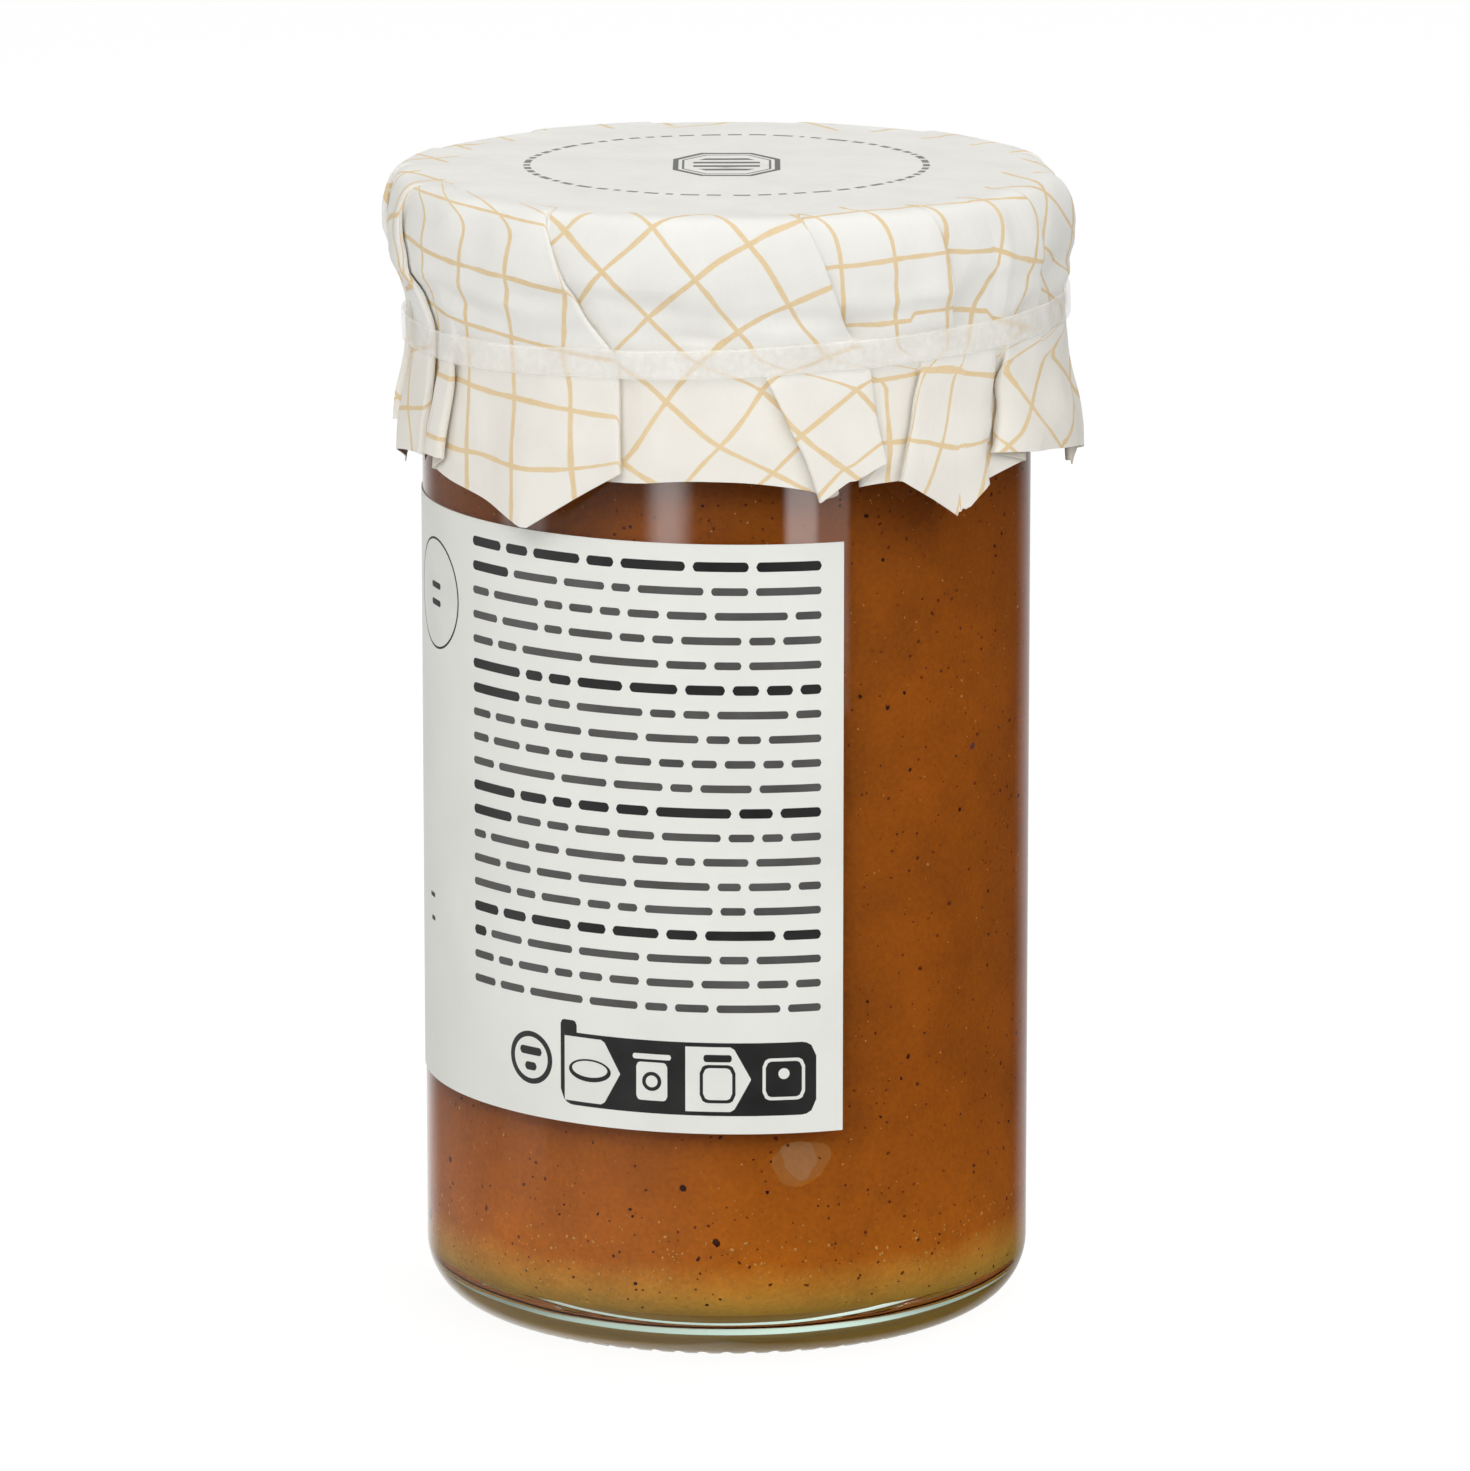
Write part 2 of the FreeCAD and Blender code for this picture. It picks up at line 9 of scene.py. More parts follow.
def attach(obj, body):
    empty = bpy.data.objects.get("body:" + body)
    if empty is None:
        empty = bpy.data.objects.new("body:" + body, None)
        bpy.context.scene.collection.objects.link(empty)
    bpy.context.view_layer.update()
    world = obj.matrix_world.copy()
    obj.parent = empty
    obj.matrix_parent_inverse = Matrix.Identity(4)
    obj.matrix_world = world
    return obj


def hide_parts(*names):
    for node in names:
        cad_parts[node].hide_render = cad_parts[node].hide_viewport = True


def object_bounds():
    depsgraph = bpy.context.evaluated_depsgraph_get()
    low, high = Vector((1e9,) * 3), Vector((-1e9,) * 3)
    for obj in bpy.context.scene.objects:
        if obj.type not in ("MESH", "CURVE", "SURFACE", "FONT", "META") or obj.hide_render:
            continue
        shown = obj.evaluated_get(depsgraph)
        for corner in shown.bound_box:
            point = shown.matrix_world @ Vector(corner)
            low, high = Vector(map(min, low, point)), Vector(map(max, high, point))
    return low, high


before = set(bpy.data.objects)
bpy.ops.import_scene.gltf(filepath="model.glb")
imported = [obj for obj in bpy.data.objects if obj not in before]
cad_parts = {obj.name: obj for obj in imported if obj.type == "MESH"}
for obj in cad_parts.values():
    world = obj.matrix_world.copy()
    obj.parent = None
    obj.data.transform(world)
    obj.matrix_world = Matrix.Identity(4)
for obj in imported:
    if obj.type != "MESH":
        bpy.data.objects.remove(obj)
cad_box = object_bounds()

# Jar of fruit curd: clear glass, filling with spice specks, tin lid, pleated paper cover,
# elastic band and wrap-round label. Sizes here are millimetres, and new_piece() turns them
# into metres. Angles round the jar are degrees from its front, growing towards +X.
MM = 0.001

# ---- sizes, the same as in the CAD source ----
TOTAL_HEIGHT = 125.0
BODY_RADIUS = 33.0
WALL = 2.5
HEEL_RADIUS = 6.6
BEARING_WIDTH = 2.8
PUSH_UP_HEIGHT = 2.4
FLOOR_THICKNESS = 3.2
FLOOR_DROP = 0.7
INNER_CORNER_RADIUS = 5.0
SHOULDER_HEIGHT = 6.0
SHOULDER_INSET = 1.6
NECK_HEIGHT = 17.25
RIM_ROUNDING = 0.9
KNURL_COUNT = 70
KNURL_WIDTH = 1.25
KNURL_DEPTH = 0.75
KNURL_INSET = 0.9
THREAD_ROOM = 3.0
LID_SKIRT = 10.4
LID_SHEET = 0.4
LID_FIT = 0.05
LABEL_ABOVE_HEEL = 19.3
LABEL_BELOW_SHOULDER = 11.1
LABEL_END_ANGLE = 22.0
LABEL_SPAN = 275.0
LABEL_TILT = 0.56
BAND_WIDTH = 3.1
BAND_FIT = 0.12
BAND_BELOW_LID = 4.55
BAND_TILT = 2.2
BAND_SHIFT = 1.0
PAPER = 0.3
HEM_REACH = 3.17
OCTAGON_TURN = 16.0
LAYER_GAP_TIGHT = 0.18
LAYER_GAP_HEM = 0.45
FOLD_LEAD = 0.5
LEAST_DEPTH = 1.3
CLEAR_OF_FOLD = 0.8
CLEAR_AHEAD = 0.65
FLAT_HALF = 0.6

LID_TOP = TOTAL_HEIGHT - PAPER - LID_FIT
LID_BOTTOM = LID_TOP - LID_SKIRT
GLASS_RIM = LID_TOP - LID_SHEET
NECK_START = GLASS_RIM - NECK_HEIGHT
BODY_TOP = NECK_START - SHOULDER_HEIGHT
BAND_HEIGHT = LID_BOTTOM - BAND_BELOW_LID
LABEL_BOTTOM = HEEL_RADIUS + LABEL_ABOVE_HEEL
LABEL_HEIGHT = BODY_TOP - LABEL_BELOW_SHOULDER - LABEL_BOTTOM
BEARING_INNER_RADIUS = BODY_RADIUS - HEEL_RADIUS - BEARING_WIDTH
NECK_RADIUS = BODY_RADIUS - SHOULDER_INSET
LID_RADIUS = NECK_RADIUS + THREAD_ROOM + LID_SHEET

# Meridian of the lowest layer of paper: how far outside the lid's radius, height, and how
# far it hangs over to +X.
MERIDIAN_FROM_LID = (
    (-3.3, TOTAL_HEIGHT, 0.0),
    (-1.5, TOTAL_HEIGHT, 0.0),
    (0.5, TOTAL_HEIGHT - 0.45, 0.0),
    (1.35, TOTAL_HEIGHT - 2.3, 0.1),
    (1.95, TOTAL_HEIGHT - 5.2, 0.15),
    (1.65, LID_BOTTOM + 2.15, 0.25),
    (0.5, LID_BOTTOM - 0.85, 0.5),
    (0.05, BAND_HEIGHT + BAND_WIDTH / 2 + 0.35, 0.8),
    (-0.1, BAND_HEIGHT, BAND_SHIFT),
    (-0.1, BAND_HEIGHT - BAND_WIDTH / 2 - 0.65, 1.0),
    (0.0, BAND_HEIGHT - 4.9, 1.05),
    (0.6, BAND_HEIGHT - 8.4, 1.15),
    (1.1, BAND_HEIGHT - 11.2, 1.2),
)
MERIDIAN = tuple((LID_RADIUS + out, z, overhang) for out, z, overhang in MERIDIAN_FROM_LID)
HEM_FLARE = 0.05
RIM_ROW = 4
BAND_ROW = 8
LAST_ROW = len(MERIDIAN)

STATE_FULL = (0, 0, 0.4, 1.2, 2, 2, 2, 2, 2, 2, 2, 2, 2, 2)
STATE_ABOVE = (0, 0, 0.4, 1.2, 2, 1.5, 1, 0.5, 0, 0, 0, 0, 0, 0)
STATE_BELOW = (0, 0, 0, 0, 0, 0, 0, 0, 0.3, 1, 2, 2, 2, 2)

# Pleats in order round the cover: which panel lies on top (+1 the one before the fold,
# -1 the one after it), growth, angle of the fold at rim, band and hem, hidden depth at
# band and hem in mm, paper crushed out of sight at the hem in mm, and how far the hem is
# lifted in mm before the fold, at its visible crease and after it.
AS_CUT = (0.0, 0.0, 0.0)
PLEATS = (
    (+1, STATE_FULL, -94.0, -92.0, -90.0, 3.6, 6.4, 0.0, (1.0, 3.5, 2.5)),
    (+1, STATE_FULL, -70.0, -66.0, -66.0, 3.4, 5.6, 0.0, (2.2, 1.4, 1.2)),
    (+1, STATE_BELOW, -60.0, -57.5, -58.2, 2.0, 3.0, 0.0, (1.2, 1.5, 0.3)),
    (+1, STATE_FULL, -28.8, -20.5, -19.2, 4.5, 9.6, 0.0, (0.6, 4.1, 1.4)),
    (-1, STATE_BELOW, -4.0, 3.5, 13.4, 1.6, 2.2, 5.5, (5.3, 1.7, 3.1)),
    (+1, STATE_FULL, 16.0, 23.4, 25.2, 2.4, 2.6, 0.0, (2.8, 4.0, 1.2)),
    (-1, STATE_BELOW, 30.5, 34.4, 27.5, 2.4, 5.8, 9.2, (1.2, 3.5, 1.3)),
    (+1, STATE_ABOVE, 38.5, 43.0, 39.3, 2.4, 1.3, 0.0, (1.3, 1.9, 2.4)),
    (+1, STATE_BELOW, 49.5, 52.0, 46.1, 1.8, 2.6, 0.0, (2.6, 3.7, 1.5)),
    (-1, STATE_BELOW, 54.5, 55.2, 48.4, 1.8, 5.2, 0.0, (2.0, 2.85, 1.8)),
    (+1, STATE_ABOVE, 63.5, 66.0, 69.0, 2.4, 1.3, 0.0, (1.5, 1.5, 1.5)),
    (+1, STATE_FULL, 86.0, 88.0, 91.0, 3.6, 6.0, 0.0, (1.5, 2.1, 3.5)),
    (-1, STATE_FULL, 109.0, 108.0, 106.0, 3.8, 6.6, 0.0, AS_CUT),
    (+1, STATE_FULL, 141.0, 143.0, 146.0, 3.8, 6.6, 0.0, AS_CUT),
    (+1, STATE_FULL, 168.0, 171.0, 171.0, 3.6, 6.2, 0.0, AS_CUT),
    (-1, STATE_FULL, 193.0, 190.0, 188.0, 3.8, 6.4, 0.0, AS_CUT),
    (+1, STATE_FULL, 219.0, 222.0, 224.0, 3.8, 6.6, 0.0, AS_CUT),
    (-1, STATE_FULL, 245.0, 243.0, 242.0, 3.6, 6.4, 0.0, AS_CUT),
)
# For each pole of a fold, from the panel on top inwards: its share of the lift beside that
# panel and of the lift at the crease. The rest is the lift beyond the fold.
LIFT_SHARES = (
    (0.95, 0.05), (0.1, 0.9), (0.0, 1.0), (0.0, 1.0), (0.0, 0.9),
    (0.0, 0.2), (0.0, 0.0), (0.0, 0.0), (0.0, 0.0), (0.0, 0.0),
)
# Share of the hem's lift that the rows above it follow: the hem first, then upwards.
LIFT_BY_ROW = (1.0, 0.4, 0.12)
POLES_PER_PLEAT = 10
POLES_PER_PANEL = 2
CREASE_POLES = (2, 4, 7)      # of a pleat's poles: its crease, the last before it, its far edge

# ---- sizes of the looks alone ----
SHEET = 0.16                  # paper as thin as it looks; the outer skin stays where it is
GLASS_STEPS_PER_KNURL = 12
CURD_INTO_WALL = 0.06         # the filling reaches just into the glass
LABEL_FILM = 0.14             # label seen as this thick
BAND_FILM = 0.42              # stretched band seen as this thick
PRINT_LIFT = 0.006            # each layer of print over the one below it
FRONT_PANEL_PLEAT = 3         # the panel after this pleat hangs straight
FRONT_ANGLE = -8.0            # where on that panel the flat sheet and the jar agree
LEVELS_PER_ROW = 4
GRID_CELL = 6.9               # squares ruled on the sheet
GRID_TURN = 60.0              # how far the ruled grid is turned on the sheet
GRID_SHIFT = (4.35, 0.1, 0.0)  # and moved along its own two ways

# How the print hangs on some panels above the band and below it, by the pleat before each
# panel: three crossings of the ruled grid, each as its number across and along the grid,
# the angle on the jar where it falls, and its distance down the sheet.
LEFT_ABOVE = ((-1, -7, -50.6, 41.8), (1, -7, -27.7, 43.2), (0, -8, -42.0, 49.4))
LEFT_BELOW = ((-1, -9, -54.2, 55.5), (1, -9, -29.1, 56.6), (0, -10, -40.7, 63.6))
RIGHT_ABOVE = ((6, 1, 51.6, 40.6), (6, 2, 60.3, 42.2), (7, 1, 48.4, 47.4))
HANGS_ABOVE = {
    1: LEFT_ABOVE,
    2: LEFT_ABOVE,
    5: ((6, -1, 28.4, 40.0), (6, 0, 37.8, 39.6), (7, -1, 29.3, 46.8)),
    6: ((6, -1, 28.4, 40.0), (6, 0, 37.8, 39.6), (7, 0, 38.9, 45.7)),
    7: ((6, 0, 38.4, 39.5), (6, 1, 51.6, 40.6), (7, 1, 47.4, 46.9)),
    8: RIGHT_ABOVE,
    9: RIGHT_ABOVE,
}
HANGS_BELOW = {
    1: LEFT_BELOW,
    2: LEFT_BELOW,
    3: ((6, -6, -12.2, 55.4), (7, -6, -3.2, 60.8), (7, -5, 4.4, 53.7)),
    4: ((8, -5, 10.8, 58.9), (8, -4, 20.8, 53.9), (9, -4, 27.6, 59.4)),
    5: ((8, -3, 27.1, 53.2), (8, -2, 38.1, 52.8), (9, -3, 26.6, 60.1)),
    6: ((8, 1, 40.3, 53.1), (9, 1, 35.6, 61.3), (8, 0, 33.4, 52.4)),
    7: ((8, 1, 40.3, 53.1), (9, 1, 35.6, 61.3), (8, 2, 52.2, 54.6)),
    9: ((5, 5, 67.3, 52.9), (6, 5, 59.2, 58.6), (6, 6, 67.1, 65.3)),
    10: ((5, 5, 67.3, 52.9), (5, 6, 82.4, 58.8), (6, 6, 67.1, 65.3)),
}


# =====================================================================================
# Small helpers
# =====================================================================================

def colour(red, green, blue):
    """A screen colour from 0 to 255 as the scene-linear colour that shaders take."""
    def linear(value):
        v = value / 255
        return v / 12.92 if v <= 0.04045 else ((v + 0.055) / 1.055) ** 2.4
    return (linear(red), linear(green), linear(blue), 1.0)


def polar(radius, degrees, height, overhang=0.0):
    """A point at an angle from the front, growing towards +X."""
    a = math.radians(degrees)
    return (radius * math.sin(a) + overhang, -radius * math.cos(a), height)


def new_piece(name, points, faces, material, replaces=(), smooth=True):
    """A mesh object from points in millimetres, riding on the jar."""
    mesh = bpy.data.meshes.new(name)
    mesh.from_pydata((np.asarray(points, float) * MM).tolist(), [], [list(f) for f in faces])
    mesh.materials.append(material)
    if smooth:
        mesh.shade_smooth()
    piece = bpy.data.objects.new(name, mesh)
    bpy.context.scene.collection.objects.link(piece)
    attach(piece, "root")
    if replaces:
        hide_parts(*replaces)
    return piece


def arc_points(centre, radius, start, end, steps):
    """Points of a circular stretch of a profile, its first point left out."""
    found = []
    for i in range(1, steps + 1):
        t = math.radians(start + (end - start) * i / steps)
        found.append((centre[0] + radius * math.cos(t), centre[1] + radius * math.sin(t)))
    return found


def straight_points(start, end, steps):
    """Points of a straight stretch of a profile, its first point left out."""
    return [
        (start[0] + (end[0] - start[0]) * i / steps, start[1] + (end[1] - start[1]) * i / steps)
        for i in range(1, steps + 1)
    ]


def turn_profile(profile, segments, height_at=None):
    """Points and faces of a profile turned round the axis; both its ends are on the axis."""
    points, rows = [], []
    for radius, height in profile:
        if radius < 1e-9:
            rows.append([len(points)] * segments)
            points.append((0.0, 0.0, height))
            continue
        rows.append(list(range(len(points), len(points) + segments)))
        for k in range(segments):
            degrees = 360.0 * k / segments
            z = height_at(radius, degrees, height) if height_at else height
            points.append(polar(radius, degrees, z))
    faces = []
    for low, high in zip(rows, rows[1:]):
        for k in range(segments):
            corners = (low[k], low[(k + 1) % segments], high[(k + 1) % segments], high[k])
            distinct = tuple(dict.fromkeys(corners))
            if len(distinct) > 2:
                faces.append(distinct)
    return points, faces


# =====================================================================================
# Shader helpers and shared effects
# =====================================================================================

def add_node(tree, kind, **settings):
    """A node with its settings."""
    made = tree.nodes.new(kind)
    for key, value in settings.items():
        setattr(made, key, value)
    return made


def feed(tree, socket, value):
    """Link a socket to another, or set it to a plain value."""
    if isinstance(value, bpy.types.NodeSocket):
        tree.links.new(value, socket)
    elif value is not None:
        socket.default_value = value


def reckon(tree, operation, *values):
    """A Math node on numbers or sockets."""
    made = add_node(tree, "ShaderNodeMath", operation=operation)
    for socket, value in zip(made.inputs, values):
        feed(tree, socket, value)
    return made.outputs[0]


def reckon_vector(tree, operation, first, second=None, scale=None):
    """A Vector Math node."""
    made = add_node(tree, "ShaderNodeVectorMath", operation=operation)
    feed(tree, made.inputs[0], first)
    if second is not None:
        feed(tree, made.inputs[1], second)
    if scale is not None:
        feed(tree, made.inputs["Scale"], scale)
    return made.outputs["Value"] if operation in ("LENGTH", "DISTANCE") else made.outputs[0]


def remap(tree, value, low, high, to_low=0.0, to_high=1.0, smooth=False):
    """A Map Range node, clamped."""
    made = add_node(tree, "ShaderNodeMapRange")
    made.interpolation_type = "SMOOTHSTEP" if smooth else "LINEAR"
    for socket, given in zip(made.inputs, (value, low, high, to_low, to_high)):
        feed(tree, socket, given)
    return made.outputs[0]


def blend_colours(tree, share, first, second, mode="MIX"):
    """A colour Mix node."""
    made = add_node(tree, "ShaderNodeMix", data_type="RGBA", blend_type=mode)
    feed(tree, made.inputs[0], share)
    feed(tree, made.inputs[6], first)
    feed(tree, made.inputs[7], second)
    return made.outputs[2]


def cloud(tree, place, size, detail=2.0, roughness=0.5, distortion=0.0):
    """Noise from 0 to 1 whose blotches are about so many millimetres."""
    made = add_node(tree, "ShaderNodeTexNoise")
    feed(tree, made.inputs["Vector"], place)
    scale = reckon(tree, "DIVIDE", 1.0, size) if isinstance(size, bpy.types.NodeSocket) else 1 / size
    feed(tree, made.inputs["Scale"], scale)
    made.inputs["Detail"].default_value = detail
    made.inputs["Roughness"].default_value = roughness
    made.inputs["Distortion"].default_value = distortion
    return made.outputs["Fac"]


def new_effect(name, inputs, outputs):
    """An empty shader group with named sockets; returns its tree, inputs and outputs."""
    tree = bpy.data.node_groups.new(name, "ShaderNodeTree")
    for socket_name, kind, default in inputs:
        socket = tree.interface.new_socket(socket_name, in_out="INPUT", socket_type=kind)
        if default is not None:
            socket.default_value = default
    for socket_name, kind in outputs:
        tree.interface.new_socket(socket_name, in_out="OUTPUT", socket_type=kind)
    return tree, tree.nodes.new("NodeGroupInput"), tree.nodes.new("NodeGroupOutput")


def place_effect(tree, effect, **values):
    """A group placed in a material; spaces in socket names are written as underscores."""
    made = add_node(tree, "ShaderNodeGroup", node_tree=effect)
    for key, value in values.items():
        feed(tree, made.inputs[key.replace("_", " ")], value)
    return made


FLOAT, VECTOR = "NodeSocketFloat", "NodeSocketVector"


def make_fibre_effect():
    """Fibres and faint clouds of a sheet of paper."""
    tree, given, out = new_effect(
        "paper fibre",
        [("Place", VECTOR, None), ("Fibre Size", FLOAT, 0.25), ("Cloud Size", FLOAT, 6.0)],
        [("Height", FLOAT), ("Tone", FLOAT)],
    )
    place = given.outputs["Place"]
    fine = cloud(tree, place, given.outputs["Fibre Size"], detail=3.0, roughness=0.6)
    broad = cloud(tree, place, given.outputs["Cloud Size"], detail=3.0)
    feed(tree, out.inputs["Height"], reckon(tree, "MULTIPLY_ADD", broad, 0.6, fine))
    tone = reckon(tree, "MULTIPLY_ADD", fine, 0.25, reckon(tree, "MULTIPLY", broad, 0.75))
    feed(tree, out.inputs["Tone"], tone)
    return tree


def make_smudge_effect():
    """Uneven shine of a handled smooth surface."""
    tree, given, out = new_effect(
        "handling smudge",
        [("Place", VECTOR, None), ("Smudge Size", FLOAT, 9.0), ("Least", FLOAT, 0.02),
         ("Most", FLOAT, 0.08)],
        [("Roughness", FLOAT)],
    )
    spread = cloud(tree, given.outputs["Place"], given.outputs["Smudge Size"], 4.0, 0.6, 0.6)
    rough = remap(tree, spread, 0.4, 0.7, given.outputs["Least"], given.outputs["Most"], True)
    feed(tree, out.inputs["Roughness"], rough)
    return tree


def make_mottle_effect():
    """Two sizes of blotch, mixed into one tone about a half, for anything stirred or cast."""
    tree, given, out = new_effect(
        "mottle",
        [("Place", VECTOR, None), ("Blotch Size", FLOAT, 7.0), ("Grain Size", FLOAT, 0.7),
         ("Grain Share", FLOAT, 0.4)],
        [("Tone", FLOAT), ("Height", FLOAT)],
    )
    place = given.outputs["Place"]
    blotch = cloud(tree, place, given.outputs["Blotch Size"], 3.0, 0.55, 0.3)
    grain = cloud(tree, place, given.outputs["Grain Size"], 2.0, 0.6)
    mixed = add_node(tree, "ShaderNodeMix", data_type="FLOAT")
    feed(tree, mixed.inputs[0], given.outputs["Grain Share"])
    feed(tree, mixed.inputs[2], blotch)
    feed(tree, mixed.inputs[3], grain)
    feed(tree, out.inputs["Tone"], mixed.outputs[0])
    feed(tree, out.inputs["Height"], grain)
    return tree


def ruled_family(tree, across, along, given, seed):
    """Ink of one family of hand-ruled lines: across counts the lines, along runs with them."""
    cell = given.outputs["Cell"]
    shift = add_node(tree, "ShaderNodeCombineXYZ")
    feed(tree, shift.inputs[0], across)
    feed(tree, shift.inputs[1], along)
    shift.inputs[2].default_value = seed
    drift = cloud(tree, shift.outputs[0], 11.0, 1.0)
    shiver = cloud(tree, shift.outputs[0], 2.4, 1.0)
    sway = reckon(tree, "MULTIPLY", reckon(tree, "SUBTRACT", drift, 0.5), 2.6)
    sway = reckon(tree, "MULTIPLY_ADD", reckon(tree, "SUBTRACT", shiver, 0.5), 0.35, sway)
    swayed = reckon(tree, "MULTIPLY_ADD", sway, given.outputs["Wobble"], across)
    count = reckon(tree, "DIVIDE", swayed, cell)
    part = reckon(tree, "SUBTRACT", reckon(tree, "FRACT", count), 0.5)
    distance = reckon(tree, "MULTIPLY", reckon(tree, "ABSOLUTE", part), cell)
    half = remap(tree, cloud(tree, shift.outputs[0], 3.5, 2.0), 0.3, 0.7, 0.36, 0.62)
    half = reckon(tree, "MULTIPLY", half, given.outputs["Line Width"])
    edge = reckon(tree, "SUBTRACT", half, distance)
    line = remap(tree, edge, -0.07, 0.07, 0.0, 1.0, True)
    # Each line starts at its own distance from the middle of the sheet.
    pick = add_node(tree, "ShaderNodeTexWhiteNoise", noise_dimensions="1D")
    feed(tree, pick.inputs["W"], reckon(tree, "ADD", reckon(tree, "FLOOR", count), seed))
    side = reckon(tree, "MULTIPLY", reckon(tree, "SIGN", along), 3.7)
    pick_side = add_node(tree, "ShaderNodeTexWhiteNoise", noise_dimensions="1D")
    feed(tree, pick_side.inputs["W"], reckon(tree, "ADD", pick.outputs["Value"], side))
    start = reckon(tree, "MULTIPLY_ADD", pick_side.outputs["Value"],
                   given.outputs["Ragged"], given.outputs["Blank Radius"])
    reach = reckon_vector(tree, "LENGTH", given.outputs["Flat"])
    begun = remap(tree, reckon(tree, "SUBTRACT", reach, start), -0.2, 0.4, 0.0, 1.0, True)
    return reckon(tree, "MULTIPLY", line, begun)


def make_ruled_grid_effect():
    """Two crossing families of hand-ruled lines round a blank middle."""
    tree, given, out = new_effect(
        "hand-ruled grid",
        [("Flat", VECTOR, None), ("Cell", FLOAT, 7.0), ("Line Width", FLOAT, 0.6),
         ("Wobble", FLOAT, 1.0), ("Blank Radius", FLOAT, 30.0), ("Ragged", FLOAT, 4.0),
         ("Turn", FLOAT, 0.0)],
        [("Ink", FLOAT)],
    )
    turned = add_node(tree, "ShaderNodeVectorRotate", rotation_type="Z_AXIS")
    feed(tree, turned.inputs["Vector"], given.outputs["Flat"])
    feed(tree, turned.inputs["Angle"], given.outputs["Turn"])
    axes = add_node(tree, "ShaderNodeSeparateXYZ")
    feed(tree, axes.inputs[0], reckon_vector(tree, "ADD", turned.outputs[0], GRID_SHIFT))
    first = ruled_family(tree, axes.outputs[0], axes.outputs[1], given, 3.0)
    second = ruled_family(tree, axes.outputs[1], axes.outputs[0], given, 41.0)
    ink = reckon(tree, "MAXIMUM", first, second)
    body = remap(tree, cloud(tree, given.outputs["Flat"], 1.3, 3.0, 0.7), 0.25, 0.6, 0.78, 1.0)
    feed(tree, out.inputs["Ink"], reckon(tree, "MULTIPLY", ink, body))
    return tree


def make_dash_ring_effect():
    """A ring of plain dashes of uneven length."""
    tree, given, out = new_effect(
        "dash ring",
        [("Flat", VECTOR, None), ("Radius", FLOAT, 20.0), ("Height", FLOAT, 0.6),
         ("Dashes", FLOAT, 50.0), ("Gap", FLOAT, 0.16)],
        [("Ink", FLOAT)],
    )
    axes = add_node(tree, "ShaderNodeSeparateXYZ")
    feed(tree, axes.inputs[0], given.outputs["Flat"])
    reach = reckon_vector(tree, "LENGTH", given.outputs["Flat"])
    off = reckon(tree, "ABSOLUTE", reckon(tree, "SUBTRACT", reach, given.outputs["Radius"]))
    half = reckon(tree, "MULTIPLY", given.outputs["Height"], 0.5)
    ring = remap(tree, reckon(tree, "SUBTRACT", half, off), -0.04, 0.04, 0.0, 1.0, True)
    turn = reckon(tree, "ARCTAN2", axes.outputs[0], axes.outputs[1])
    turn = reckon(tree, "DIVIDE", turn, 2 * math.pi)
    gaps = add_node(tree, "ShaderNodeTexVoronoi", voronoi_dimensions="1D",
                    feature="DISTANCE_TO_EDGE")
    feed(tree, gaps.inputs["W"], turn)
    feed(tree, gaps.inputs["Scale"], given.outputs["Dashes"])
    gap = given.outputs["Gap"]
    dash = remap(tree, reckon(tree, "SUBTRACT", gaps.outputs["Distance"], gap), 0.0, 0.05)
    feed(tree, out.inputs["Ink"], reckon(tree, "MULTIPLY", ring, dash))
    return tree


EFFECTS = {}


def make_effects():
    """Every shared effect, built once."""
    EFFECTS["fibre"] = make_fibre_effect()
    EFFECTS["smudge"] = make_smudge_effect()
    EFFECTS["mottle"] = make_mottle_effect()
    EFFECTS["ruled grid"] = make_ruled_grid_effect()
    EFFECTS["dash ring"] = make_dash_ring_effect()


def new_material(name):
    """A material with one Principled shader; returns the material, its tree and the shader."""
    material = bpy.data.materials.new(name)
    material.use_nodes = True
    tree = material.node_tree
    return material, tree, tree.nodes["Principled BSDF"]


def place_on_jar(tree):
    """Millimetres on the object itself."""
    where = add_node(tree, "ShaderNodeTexCoord")
    return reckon_vector(tree, "SCALE", where.outputs["Object"], scale=1000.0)


def place_on_sheet(tree, layer):
    """Millimetres on a sheet laid flat, from one of its UV layers."""
    where = add_node(tree, "ShaderNodeUVMap", uv_map=layer)
    return reckon_vector(tree, "SCALE", where.outputs[0], scale=UV_SPAN)


def raise_bump(tree, shader, height, distance):
    """Feed a height to the shader's normal; the distance is in millimetres."""
    bump = add_node(tree, "ShaderNodeBump")
    bump.inputs["Strength"].default_value = 1.0
    bump.inputs["Distance"].default_value = distance * MM
    feed(tree, bump.inputs["Height"], height)
    feed(tree, shader.inputs["Normal"], bump.outputs[0])


# =====================================================================================
# Materials
# =====================================================================================

UV_SPAN = 200.0               # millimetres of flat sheet across the whole UV square
PAPER_WHITE = colour(241, 240, 235)
PAPER_SHADE = colour(233, 231, 225)
# Painted warm shade: the paper below the band is multiplied by this tint, so it is darker and warmer than
# above.
PAPER_SKIRT_SHADE = (1.0, 0.975, 0.94, 1.0)  # the loose skirt under the band looks warmer
INK_OCHRE = colour(229, 203, 157)
INK_GREY = colour(80, 80, 80)
TOP_PRINT_BACK = 2.3          # how far behind the middle the print on the top sits


